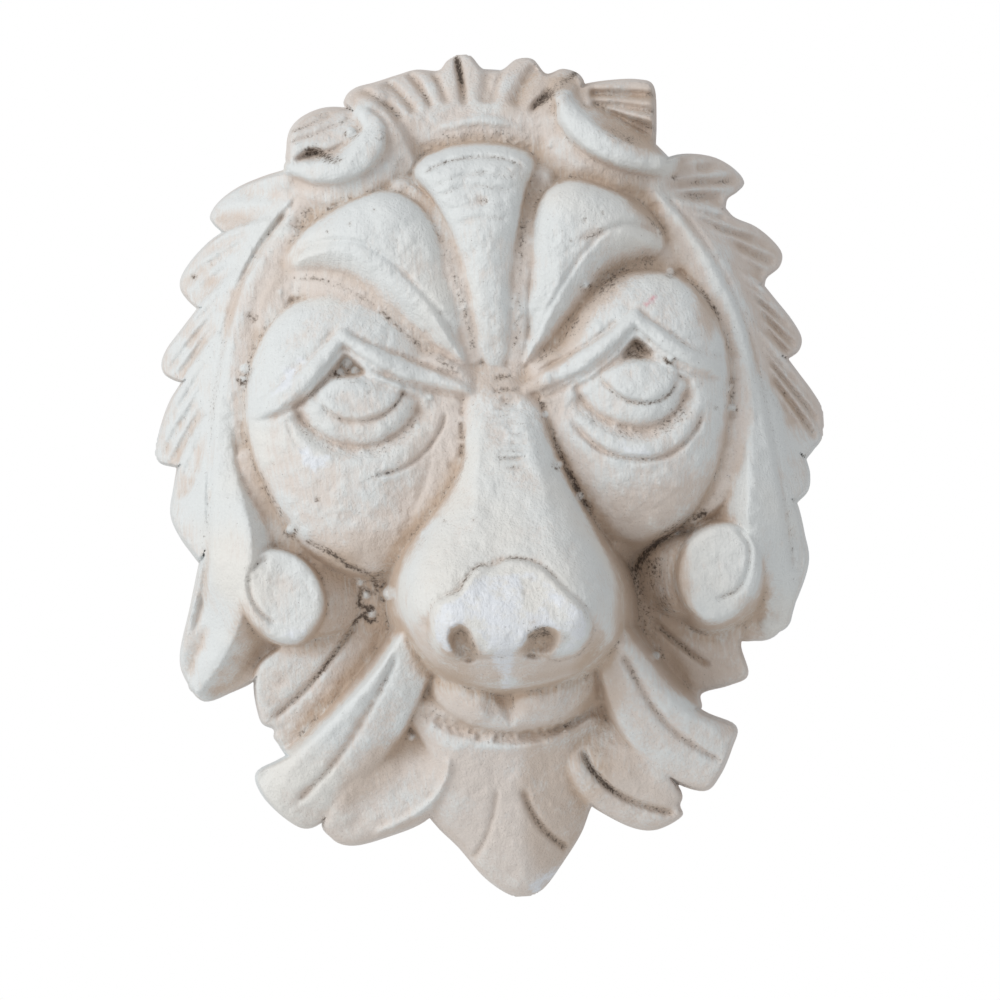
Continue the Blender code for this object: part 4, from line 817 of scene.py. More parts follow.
body += between(wedge_v, wedge["crowns"]) * dome(inward, between(wedge_v, wedge["radii"]))
join(window, body, inward, fillet=0.5, white=0.9)
for arc, depth, dirty in wedge["arcs"]:
    groove(arc, width=0.8, depth=depth, fade=0.08, dirty=dirty)

# The scrolls: the curled end of each side leaf, a short roll out of the cheek with a flat round end.
# The end is rubbed pale; the side of the roll that faces the muzzle stays in shade and keeps its wash.
scrolls = {
    "left": {
        "end": [
            (-63.3, -23), (-61.5, -17.5), (-56.5, -13.6), (-50.5, -14.6), (-45.5, -19),
            (-43.2, -25.5), (-44.6, -31.5), (-49.5, -35.6), (-56, -34.6), (-61.5, -29.5),
        ],
        "roll": [(-50, -25), (-39, -24.5), (-31, -24)],
        "roll_levels": [36, 32, 24],
        "wall": 14,
        "fillet": 1.0,
        "curl": [(-55, -14.3), (-60, -17.8), (-60.9, -23), (-58.5, -28.3), (-54, -31.8)],
    },
    "right": {
        "end": [
            (61, -23), (59.3, -17), (54.5, -13.8), (48, -14.7), (43.2, -19), (41.2, -26),
            (43.2, -33), (48.3, -36.8), (55, -34.7), (59.8, -29.5),
        ],
        "roll": [(48, -25), (38, -25), (31.5, -26)],
        "roll_levels": [37, 33, 24],
        "wall": 6,
        "fillet": 3.0,
        "curl": [(55.5, -14.3), (58.5, -18.5), (58.3, -24), (55.5, -29.3), (49.5, -31.6)],
    },
}
scroll_halves = [10, 9.6, 7.6]
scroll_level = 40
for scroll in scrolls.values():
    roll(
        scroll["roll"], scroll_halves, scroll["roll_levels"],
        crown=7, radius=8, wall=5, fillet=1.0, white=0.1,
    )
    pad(
        scroll["end"], scroll_level,
        crown=2.2, radius=2.2, wall=scroll["wall"], fillet=scroll["fillet"], white=0.8,
    )
    groove(scroll["curl"], width=0.8, depth=1.3, fade=0.12, dirty=0.35)

# The eyes: a flat lens under a pointed lid, with a fold or two below and a deep pocket under the lid's peak.
# Grains of plaster are left in the left pocket, where air bubbles burst in the mould.
eyes = {
    "left": {
        "lid": [
            (-59, 18.6), (-53, 21.4), (-46.5, 25.6), (-40.6, 31), (-35.6, 36.2), (-35.2, 36.2), (-29.5, 32.4),
            (-21.5, 28), (-13, 24.6), (-6, 21.8), (-3, 20.6),
        ],
        "lid_halves": [1.6, 2.6, 2.5, 2.1, 1.7, 1.7, 2.1, 2.3, 2.1, 1.6, 0.9],
        "arm_lines": [
            ([(-57.5, 17), (-51, 18.6), (-45, 22), (-40, 26.4), (-36.8, 30)], 0.8, 0.9, 0.2),
            ([(-52, 26.3), (-46.5, 29.8), (-41, 34), (-37, 38.4)], 0.9, 0.5, 0.05),
            ([(-33.5, 37.2), (-28.5, 34.2), (-21, 30.8), (-12.5, 27), (-6, 24.6)], 0.7, 0.9, 0.45),
            ([(-30, 28.6), (-20.5, 24), (-12, 21.4), (-5.5, 19.6)], 0.7, 0.8, 0.3),
        ],
        "opening": [
            (-48.5, 20.5), (-46, 15.4), (-42, 11.9), (-37, 9.6), (-32, 8.7), (-27, 9.6), (-22, 12.3),
            (-18.4, 16), (-16.8, 20.5), (-21, 23), (-28, 26.4), (-35.4, 31.5), (-40, 27.4), (-44.5, 23.4),
        ],
        "lower": [
            (-48.6, 19.8), (-45.5, 15), (-42, 11.9), (-37, 9.6), (-32, 8.7), (-27, 9.6), (-22, 12.3),
            (-18.4, 16), (-16.6, 20),
        ],
        "lens": [
            (-41.8, 23.6), (-40, 19.2), (-36, 16.6), (-31, 16.3), (-26, 17.8), (-22.6, 21), (-21.6, 24),
            (-26, 26.2), (-31, 27), (-37.5, 26.4),
        ],
        "iris_line": [
            (-41.8, 22), (-39.6, 18.6), (-35.6, 16.2), (-31, 15.9), (-26, 17.4), (-22.4, 20.8),
            (-21.4, 23.8),
        ],
        "folds": [
            ([(-49.8, 17.5), (-48, 12), (-45, 8.6)], 0.8, 0.7, 0.1),
            (
                [(-30.5, 2.9), (-24.5, 3.5), (-19.5, 6), (-15.5, 9.6), (-12.6, 14), (-11.6, 17.6)],
                0.8, 1.3, 0.4,
            ),
        ],
        "pocket": [
            (-38.4, 27), (-36.8, 29.6), (-35.2, 32.4), (-32, 30), (-30, 27.8), (-33, 26.4), (-36, 26.6),
        ],
        "pocket_depth": 3.0,
        "pocket_dirt": 0.4,
        "lower_dirt": 0.2,
    },
    "right": {
        "lid": [
            (3, 19.4), (7, 21), (14, 24), (22, 27.8), (29, 32.2), (34.4, 36.8), (34.8, 36.8), (38.8, 33.2),
            (43.8, 29.2), (49.4, 26), (56, 23.6),
        ],
        "lid_halves": [0.9, 1.7, 2.3, 2.4, 2.1, 1.7, 1.7, 2.1, 2.4, 2.5, 1.8],
        "arm_lines": [
            ([(8, 17.4), (15.5, 20.4), (22.5, 24), (29, 28.4), (34, 33)], 0.7, 0.8, 0.25),
            ([(10, 25), (17, 28), (25, 32.4), (31.5, 37.6)], 0.8, 0.9, 0.35),
            ([(35.6, 38.6), (39.6, 35.4), (42, 33)], 0.7, 0.6, 0.15),
            ([(42, 33.4), (46.5, 29.6), (51.5, 27), (55.6, 26.2)], 0.9, 1.2, 0.35),
            ([(37.4, 29.4), (42.5, 25.4), (48.5, 22.4), (55.5, 20.6)], 0.7, 0.8, 0.25),
        ],
        "opening": [
            (18.6, 21), (22, 15), (26, 12), (31, 9.8), (36, 9.3), (41, 11), (45, 14.5), (47.8, 20.6),
            (43.6, 24.2), (38.5, 28), (34.4, 32), (29, 28), (23.4, 23.8),
        ],
        "lower": [
            (18.6, 20), (22, 15), (26, 12), (31, 9.8), (36, 9.3), (41, 11), (45, 14.6), (47.6, 20),
        ],
        "lens": [
            (25.6, 23.8), (28.2, 20.2), (32, 17.5), (37, 16.6), (41.2, 18.2), (44, 21.8), (43.4, 24.6),
            (40, 26.2), (34, 26.4), (29, 25.6),
        ],
        "iris_line": [(24.8, 23.8), (27.8, 20), (31.8, 17.1), (37, 16.2), (41.4, 17.8), (44.2, 21.6)],
        "folds": [
            (
                [(17.6, 14), (22, 8.2), (27, 4.7), (33, 3.1), (39, 3.2), (44, 5.6), (48, 10), (50.4, 15.5)],
                1.0, 1.7, 0.35,
            ),
        ],
        "pocket": [(30.6, 27), (34.4, 32.2), (38.8, 28.2), (36.4, 26.6), (33, 26.8)],
        "pocket_depth": 2.8,
        "pocket_dirt": 0.6,
        "lower_dirt": 0.36,
    },
}
opening_depth = 2.3
ball_swell = 1.7
lens_swell = 1.5
lid_swell = 2.2
for eye in eyes.values():
    window, inward = within(eye["opening"])
    height[window] -= opening_depth * ease(inward, -0.3, 1.6) - ball_swell * dome(inward - 1.2, 6.0)
    groove(eye["lower"], width=2.5, depth=2.3, fade=0.08, dirty=0.2)
    stain(eye["lower"], width=2.0, strength=eye["lower_dirt"], fade=0.15)
    window, inward = within(eye["lens"])
    height[window] += lens_swell * dome(inward, 1.4)
    groove(eye["iris_line"], width=0.7, depth=0.6, fade=0.1, dirty=0.7)
    dip(eye["pocket"], eye["pocket_depth"], slope=1.4)
    window, inward = within(eye["pocket"])
    dirt_and_shade[window] = np.maximum(dirt_and_shade[window], eye["pocket_dirt"] * ease(inward, -0.4, 0.8))
    window, nearest, along, _ = follow(curve(eye["lid"]), 6)
    inward = spread(along, eye["lid_halves"]) - nearest
    height[window] += lid_swell * dome(inward, 1.9) * ease(np.minimum(along, 1 - along), -0.01, 0.08)
    coat[window] += (0.7 - coat[window]) * 0.6 * ease(inward, 0, 1)
    for line, width, depth, dirty in eye["arm_lines"] + eye["folds"]:
        groove(line, width, depth, fade=0.1, dirty=dirty)

# The mouth: two soft lip pads under the nose, a gritty line between the lips and a thin lower lip.
# It is cast shallow in the shade of the muzzle, and grit from the mould stayed in the line.
mouth = {
    "lip": [
        (-18.5, -44), (-18.8, -50), (-15, -55), (-8, -58.6), (0, -60), (8, -59), (15, -56.2),
        (20, -51.5), (20.5, -44), (10, -40), (-10, -40),
    ],
    "cushions": [
        [(-14.5, -46), (-14.8, -52), (-11, -56.4), (-6, -57.4), (-4.4, -51), (-7, -45)],
        [(1.5, -46), (1.2, -56.5), (7, -57.6), (12.6, -55), (14.8, -49), (12, -45)],
    ],
    "furrow": [(-6, -47.5), (0.4, -47.5), (0.5, -53), (0, -59.2), (-1.4, -58), (-3.6, -53)],
    "line": [(-21.8, -53), (-16, -57.5), (-8, -60.2), (0, -61.2), (8, -60.8), (15.5, -58.4), (22.4, -54.2)],
    "lower_lip": [(-20.5, -56.6), (-12, -61.4), (-3, -63.5), (6, -63.3), (13, -61.2), (18.5, -58.2)],
    "stains": [
        ([(17.5, -47), (18.5, -50.5), (20.5, -53.5)], 1.0, 0.7),
        ([(-0.6, -49), (0.2, -53), (-0.4, -58)], 0.45, 0.7),
    ],
}
lip_level = 39.2
cushion_swell = 2.2
pad(mouth["lip"], lip_level, crown=6.5, radius=7.5, wall=2.5, fillet=1.5, white=0.06)
for cushion in mouth["cushions"]:
    dip(cushion, -cushion_swell, slope=3.2)
dip(mouth["furrow"], depth=2.2, slope=1.8)
groove(mouth["line"], width=2.2, depth=1.5, fade=0.08)
window, nearest, along, _ = follow(curve(mouth["line"]), 4)
gritty = ease(2.3 - nearest, 0, 1.2) * body_of_line(along, 0.1)
grit_height = 0.2
height[window] += (grit_height * coarse_grit[window] + grit_height * fine_grit[window]) * gritty
coat[window] -= coat[window] * gritty
stain(mouth["line"], width=1.5, strength=0.3)
stain_all(mouth["stains"])
lip_halves = [0.5, 0.8, 0.8, 0.5]
lip_levels = [28, 31.3, 31.3, 28]
roll(mouth["lower_lip"], lip_halves, lip_levels, crown=0.7, radius=1.1, wall=1.4, fillet=1.2, white=0.5)

# The muzzle: the bridge of the nose and the muzzle in one, swelling out to the nose pad with two nostrils.
# It stands furthest out, so it is rubbed white, and fine strokes are scratched across the bridge.
muzzle = {
    "outline": [
        (-4.5, 27), (-7.4, 18), (-8.3, 7), (-12, -1.5), (-19, -10.5), (-23.8, -17.5), (-25.4, -26),
        (-23.8, -33.5), (-20, -40.8), (-15, -45.4), (-8, -48.6), (0, -49.8), (8, -49.2), (16, -46.8),
        (22, -42.8), (25.8, -38), (27, -31), (26, -23), (21.5, -12), (16.8, -2), (13, 9), (10.5, 19),
        (6.5, 27.5),
    ],
    "ridge": [
        (-52, 57), (-46, 66), (-40, 71), (-34, 73), (-28, 71.7), (-20, 67.3), (-10, 60.5), (0, 54),
        (10, 48.5), (20, 42.5), (28, 37),
    ],
    "rim": [
        (-51, 46), (-40, 49), (-30, 49), (-20, 46), (-10, 43), (0, 41.5), (10, 41), (20, 39), (28, 36.5),
    ],
    "radius": [(-51, 9), (-40, 12), (-20, 13), (-10, 10.5), (0, 8.5), (10, 7.5), (28, 7)],
    "pad": [
        (-7.6, -21.6), (-5.8, -20.1), (-2.6, -20.4), (0.2, -19.1), (3, -18.9), (5.8, -19.6), (9.1, -21.2),
        (11.5, -23.6), (14.3, -26.9), (17.2, -29.7), (19.5, -32.5), (20.2, -35.8), (19.3, -39.2),
        (16.7, -42), (12.4, -43.4), (7.6, -42.6), (3, -41.6), (-3, -41.8), (-8.4, -42.2), (-12.5, -42.2),
        (-15.6, -41.3), (-17.8, -39), (-18.8, -35.8), (-18.5, -32), (-17.2, -28.8), (-14.2, -26.9),
        (-11, -25.7), (-9.6, -23.6),
    ],
    "valley": [
        (-17.6, -29), (-19.8, -33), (-19.6, -38), (-17, -42.4), (-12.5, -44), (-7, -44.6), (0, -45),
        (6, -45), (12, -44.8), (17.6, -42.8), (20.8, -39.4), (21.6, -35.6), (20.4, -31),
    ],
    "nostrils": [
        (
            [
                (-14.2, -37.6), (-13.4, -34.8), (-11, -33.8), (-9.2, -35.2), (-8.2, -38.4), (-7.4, -41.8),
                (-9.4, -43.2), (-12.4, -41.6),
            ],
            6.5,
            2.0,
        ),
        (
            [
                (3.2, -40.6), (4.8, -37.4), (7.8, -35.6), (10.8, -35.8), (12, -38), (10.6, -41.2),
                (7.6, -43), (4.4, -42.8),
            ],
            6.5,
            2.6,
        ),
        ([(-9, -35), (-5.6, -37.4), (-4.8, -41), (-7, -42.4), (-8.6, -39)], 1.0, 2.2),
        ([(11, -36.6), (15.2, -37.6), (16.4, -40.6), (12, -42.4), (9.4, -41.2)], 1.5, 2.0),
    ],
    "stains": [
        ([(-14.4, -26.9), (-11, -25.7), (-9.6, -23.6), (-7.6, -21.6)], 0.35, 0.9),
        ([(-7.6, -21.6), (-5.8, -20.1), (-2.6, -20.4), (0.2, -19.1), (3, -18.9), (6, -19.6)], 0.35, 1.0),
        ([(6, -19.6), (11.5, -23.6), (17.2, -29.7), (20.2, -35.8)], 0.4, 0.35),
        ([(19, -39.8), (16.7, -42.2), (12.4, -43.6), (8.7, -43)], 0.4, 0.8),
        ([(-17.8, -39), (-18.8, -35.8), (-18.5, -32)], 0.35, 0.3),
        # The next four lie in the nostrils: painted shade in the openings.
        ([(-11.4, -34.6), (-9.8, -36), (-8.6, -39), (-7.8, -42.4)], 0.9, 1.1),
        ([(-12.6, -36.6), (-11.6, -38.6), (-10.4, -41)], 1.8, 0.25),
        ([(4.8, -38.4), (7.6, -36.8), (10.6, -37.2)], 1.3, 1.0),
        ([(5, -40), (7, -41), (9.5, -40)], 1.8, 0.25),
        ([(13.2, -38.4), (14.6, -38)], 0.35, 0.9),
    ],
    "ridges": [
        ([(-4, 20), (-4.6, 8), (-6.2, -7.6), (-5.8, -16)], 0.8),
        ([(5.8, 18), (8.5, 6), (12.8, -8)], 0.5),
    ],
    "bridge_hollow": [(3.5, 24), (8, 27), (12.5, 24), (10.5, 18.5), (6, 20)],
}
window, inward = within(muzzle["outline"])
muzzle_v = grid_v[window]
rim = between(muzzle_v, muzzle["rim"])
swell = (between(muzzle_v, muzzle["ridge"]) - rim) * dome(inward, between(muzzle_v, muzzle["radius"]))
white = 0.8 - 0.5 * ease(muzzle_v, 16, 27)
join(window, rim + swell + 6 * np.minimum(inward, 0), inward, fillet=1.6, white=white)
for line, rise in muzzle["ridges"]:
    groove(line, width=2.2, depth=-rise, fade=0.3)
dip(muzzle["bridge_hollow"], depth=1.8, slope=3)
groove(muzzle["valley"], width=3.2, depth=2.3, fade=0.1)
# Round the foot of the nose pad the coat is taken off: partly the wash, partly painted shade under the pad.
window, nearest, along, _ = follow(curve(muzzle["valley"]), 6)
coat[window] -= 0.9 * coat[window] * np.exp(-((nearest / 2.4) ** 2)) * body_of_line(along, 0.1)
pad_swell = 2.6
pad_edge_depth = 0.6
daub_strength = 0.74
window, inward = within(muzzle["pad"])
height[window] += pad_swell * dome(inward, 1.5) - pad_edge_depth * np.exp(-((inward + 0.3) ** 2) / 0.3)
coat[window] += (1.0 - coat[window]) * ease(inward, 0, 0.8)
daubed = ease(lumps[window] + 0.4 * coarse_grit[window], -2.8, -0.4) * ease(-grid_v[window], 19, 25)
fresh[window] = np.maximum(fresh[window], daub_strength * ease(inward, 0.3, 2.2) * daubed)
# Inside each nostril the coat is thinned: painted shade in the openings.
for nostril, depth, slope in muzzle["nostrils"]:
    dip(nostril, depth, slope)
    window, inward = within(nostril)
    coat[window] -= 0.2 * depth * ease(inward, 0, 1.5)
    fresh[window] *= 1 - ease(inward, -0.5, 1.0)
stain_all(muzzle["stains"])
bridge_strokes = 17
first_stroke = 25.0
strokes_reach = 22.0
stroke_rng = np.random.default_rng(21)
for stroke in range(bridge_strokes):
    v_place = first_stroke - strokes_reach * stroke / (bridge_strokes - 1) + stroke_rng.uniform(-0.5, 0.5)
    left_end = 0.6 + stroke_rng.uniform(-2.4, 2.0)
    right_end = 5.0 + 4.0 * stroke / (bridge_strokes - 1) + stroke_rng.uniform(-2.5, 1.6)
    sag = stroke_rng.uniform(-0.8, 0.3)
    middle = ((left_end + right_end) / 2, v_place + sag)
    stroke_line = [(left_end, v_place), middle, (right_end, v_place + sag)]
    groove(stroke_line, width=0.5, depth=0.75, fade=0.3)
    stain(stroke_line, width=0.5, strength=stroke_rng.uniform(0.6, 1.1), fade=0.3)

# The casting marks: beads where bubbles burst, grit caught in the creases, a few pits and chipped paint.
# They are plaster like the rest; the beads stand in rings of dirt that the rubbing left behind.
beads = [
    (-27.9, -25.3, 1.8), (-33, -25.5, 1.3), (-32, -30, 1.2), (-34.5, -22.5, 0.9), (-50.4, -9, 1.2),
    (-59, 29.9, 1.3), (-59.4, 27.6, 0.9), (-34.4, 29.9, 1.5), (-32.8, 28, 1.3), (-36.2, 27.9, 1.0),
    (-15.3, 20.6, 0.9), (-16.2, 18.6, 0.6), (-18.7, 13.8, 0.9), (-24.4, 9.2, 0.6), (-29.6, 2.9, 0.6),
    (12, 15, 0.9), (14.5, 3, 1.0), (19, -5, 0.9), (17, -1.5, 0.7), (22.3, 12.6, 0.7), (25, 10.9, 0.5),
    (42.5, 26.6, 0.9), (43.6, 47.4, 1.1), (56.5, 14, 1.0), (56.2, 19, 0.6), (10.5, -58, 0.8),
    (35, -44, 0.9), (-24.3, -60.1, 1.0), (-30.4, 84.9, 1.3), (-31.2, 83.2, 0.7), (-23.4, 83.6, 0.6),
    (-38.5, 47.2, 0.6), (9.5, 21.5, 0.6), (-49.5, 47.8, 0.9), (21.8, 27.5, 0.5), (23.4, 45.2, 0.9),
]
large = 0.8


def around(u, v, margin):
    """The window round a point, and there the distance to it."""
    window, nearest, _, _ = follow(np.array([(u, v), (u + 0.01, v)]), margin)
    return window, nearest


def bead(bead_u, bead_v, radius, ringed):
    """A ball of plaster half sunk in the surface, with dirt round its foot."""
    window, nearest = around(bead_u, bead_v, radius * 3)
    seat = np.median(height[window][nearest < radius * 1.4])
    uneven = radius * (1 + 0.12 * coarse_grit[window])
    ball = seat + np.sqrt(np.maximum(uneven**2 - nearest**2, 0)) - 0.2 * radius
    on_ball = ease(uneven - nearest, -0.15, 0.15)
    height[window] += (np.maximum(height[window], ball) - height[window]) * on_ball
    foot = np.exp(-(((nearest - radius - 0.3) / 0.5) ** 2)) * (grid_v[window] < bead_v + 0.5 * radius)
    darkening = ringed * foot * np.clip(0.6 + 0.5 * coarse_grit[window], 0, 1.2)
    dirt_and_shade[window] = np.maximum(dirt_and_shade[window] * (1 - on_ball), darkening)
    coat[window] += (0.5 - coat[window]) * on_ball
    if radius > large:
        rubbed[window] = np.maximum(rubbed[window], on_ball)


bead_trim = 0.9
for bead_u, bead_v, radius in beads:
    bead(bead_u, bead_v, radius * bead_trim, 0.9 if radius > large else 0.4)
gritty_lines = [
    ([(-7.2, 23), (-8, 14), (-8.5, 5), (-10.5, 0), (-14, -5), (-19, -12), (-24, -18.5)], 18, 0.6),
    ([(10.5, 22), (12.5, 13), (15, 5), (18.5, -3), (22, -10)], 30, 1.0),
    ([(-33.5, 48), (-27, 43.5), (-22, 38), (-17, 33.5), (-12, 29.5), (-7, 26)], 26, 0.7),
    ([(30, 48.5), (24, 41), (17, 32.5), (10, 26.5)], 16, 1.2),
    ([(-12, 62.5), (-8.6, 51), (-5.8, 40), (-4, 30)], 16, 0.6),
    ([(9.4, 63), (8, 51), (6.8, 40), (5.6, 30)], 20, 0.6),
    ([(-21, -52.5), (-15, -57.5), (-6, -60.4), (3, -61), (12, -59.4), (21, -55)], 120, 1.2),
    ([(-55.6, 1.5), (-52.6, -4.5), (-47.5, -11), (-40, -15.8), (-32, -21), (-28.5, -23)], 20, 0.9),
    ([(53, -5), (46, -10), (38, -13.5), (31, -18), (27.5, -24)], 18, 1.0),
    ([(57, 22), (56.6, 14), (56.6, 6), (54, -3)], 16, 0.9),
    ([(-13, 79.6), (-7, 81.4), (-0.5, 82.4), (6.5, 81.4), (12.5, 79)], 24, 1.0),
    ([(-20, 78), (-18, 73.5), (-14.6, 67.5)], 12, 1.2),
    ([(16, 78), (13, 72.5), (10.8, 66)], 14, 1.2),
    ([(-46, 20), (-40.5, 11.5), (-32, 8.6), (-23.5, 11.4), (-18, 17)], 16, 0.4),
    ([(22, 15), (28, 11), (36, 9.2), (44, 13)], 20, 0.5),
    ([(-40, 26.8), (-36.5, 26.2), (-33, 26), (-30, 27.4)], 8, 0.5),
    ([(31, 28), (34, 30), (37.5, 28)], 12, 1.1),
    ([(-28, -43), (-33, -51), (-38, -58)], 8, 0.6),
    ([(17.6, -47), (19.5, -52), (21.5, -54)], 16, 1.1),
    ([(28, -26), (31, -34), (37, -40)], 14, 1.4),
]
grit_rng = np.random.default_rng(14)
for line, count, spread_out in gritty_lines:
    path = curve(line)
    for _ in range(count):
        place = path[grit_rng.integers(len(path))]
        off_u, off_v = grit_rng.normal(size=2) * spread_out * 0.7
        radius = 0.3 + 0.35 * grit_rng.random() ** 2.5
        bead(place[0] + off_u, place[1] + off_v, radius, ringed=0.25)
bead_cracks = [
    [(-38, -18), (-34.5, -19.5), (-31.6, -20.8), (-28.4, -20.4)],
    [
        (-31.6, -20.8), (-30.6, -23.4), (-31, -25.3), (-33.8, -24), (-34.8, -26), (-34.6, -28.2),
        (-31.2, -28.6),
    ],
    [(-31.2, -28.6), (-34.6, -30.4), (-36.8, -32.4)],
    [(-29.9, -25.2), (-29.2, -27), (-27.6, -27.3), (-26.3, -26.6)],
    [(-29.8, -24.8), (-28.8, -23.5), (-27.2, -23.4), (-26, -24.4)],
    [(-31, -31.6), (-32.6, -32), (-34, -30.6)],
]
for crack in bead_cracks:
    stain(crack, width=0.4, strength=1.5, fade=0.02)
    groove(crack, width=0.7, depth=0.5, fade=0.02)
pits = [
    (-43.4, -2.2, 0.45), (-29.5, 22.6, 0.3), (6.5, -24, 0.3), (-32, 63, 0.3), (-37.5, 61.5, 0.25),
    (-26, 66, 0.3), (-13.6, -9, 0.3), (28.4, 62.2, 0.3), (52.6, 14.2, 0.35), (37.6, 31.2, 0.3),
    (-70, 52.5, 0.5), (46, 69.6, 0.45), (20.5, 56, 0.3), (24, 60.6, 0.35), (-21, 58.5, 0.3),
]
pit_depth = 0.5
for pit_u, pit_v, radius in pits:
    window, nearest = around(pit_u, pit_v, radius * 4)
    height[window] -= pit_depth * np.exp(-((nearest / radius) ** 2))
    dirt_and_shade[window] = np.maximum(dirt_and_shade[window], 1.1 * np.exp(-((nearest / radius) ** 2) / 1.6))
# Two broad dark bands on the side of the right scroll's roll that faces the muzzle: painted shade.
scroll_side_shade = [
    ([(28, -21), (30.5, -28), (33.5, -37)], 3.0, 0.72),
    ([(35, -20), (36, -28), (39, -35)], 2.8, 0.46),
]
stain_all(scroll_side_shade)
chips = [
    ([(-5.5, 73), (-3.5, 73.6), (-1.5, 73.4), (0.5, 73.9), (1.5, 73.2), (-1, 72.6), (-4, 72.3)], 0.25),
    ([(-1.6, 67.6), (0.8, 67.8), (1.6, 66.4), (0, 65.4), (-1.8, 66)], 0.3),
    ([(-4.4, 68.6), (-3.2, 68.8), (-3, 67.4), (-4.2, 67)], 0.25),
    ([(-5.4, 61.8), (-3, 62.3), (-2.6, 61.6), (-5, 61)], 0.2),
    ([(23, 56.8), (26, 58), (28.4, 58.2), (26, 56.9), (24, 55.8)], 0.2),
    ([(-7.4, -8.4), (-6, -8.2), (-5.6, -9.6), (-7, -9.8)], 0.2),
]
for outline, depth in chips:
    window, inward = within(outline)
    chipped = ease(inward + 0.3 * coarse_grit[window], -0.1, 0.2)
    height[window] -= depth * chipped
    coat[window] -= 0.75 * chipped
    dirt_and_shade[window] = np.maximum(dirt_and_shade[window], 0.34 * chipped)
softening = 0.22
lump_height = 0.15
coarse_height = 0.13
fine_height = 0.08
height = blur(height, softening)
height += lump_height * lumps + coarse_height * coarse_grit + fine_height * fine_grit

# The wash, the pale coat and painted shade: a warm beige wash lies in every hollow, dirt in the narrow
# creases, and an off-white coat was dragged over what stands out. Where each of them lies is worked out from
# the carving;
# the darkening of hollows, steep walls and faces that turn downward is partly that wash and partly painted
# shade.
on_mask = (cover > 0).astype(float)
coat = blur(coat, 0.9)


def surroundings(sigma):
    """The mean height of the plaster round each point."""
    return blur(height * on_mask, sigma) / np.maximum(blur(on_mask, sigma), 0.01)


narrow = surroundings(0.8) - height
medium = surroundings(2.0) - height
broad = surroundings(5.0) - height
rise_u = np.gradient(height, grid_step, axis=1)
rise_v = np.gradient(height, grid_step, axis=0)
slope = np.hypot(rise_u, rise_v)
off_rim = ease(cover, 0.2, 1.6)
off_edge = ease(cover, 1, 9)
# Faces that turn downward and steep walls lose coat below: painted shade.
facing_down_shade = off_edge * ease(rise_v / np.hypot(1, slope), 0.25, 0.95)
steep = off_rim * ease(slope, 1.1, 3.2)
hollow = off_edge * ease(broad, -0.2, 4.2)
tight = off_rim * ease(medium, 0.1, 1.3)
paint = coat + 0.28 * ease(-medium, 0.1, 0.9) + 0.12 * ease(-narrow, 0.02, 0.2)
paint -= 0.5 * hollow + 0.35 * tight + 0.25 * facing_down_shade + 0.25 * steep + 0.15 * ease(narrow, 0.03, 0.25)
paint = np.clip(blur(paint, 0.5) + 0.07 * lumps + 0.05 * coarse_grit, 0, 1)
crease = ease(cover, 1, 4) * ease(narrow, 0.2, 0.6) * np.clip(0.5 + 0.35 * coarse_grit, 0, 1)
dirt_and_shade = blur(np.clip(np.maximum(dirt_and_shade, 0.5 * crease), 0, 1.2), 0.3)
dirt_and_shade *= 1 - 0.8 * ease(slope, 2, 6)
# The shade colour gathers in hollows, tight grooves and on steep walls: partly the wash, partly painted
# shade.
shade = np.clip(0.75 * hollow * ease(broad, 0.5, 5) + 0.3 * tight + 0.35 * steep, 0, 1)
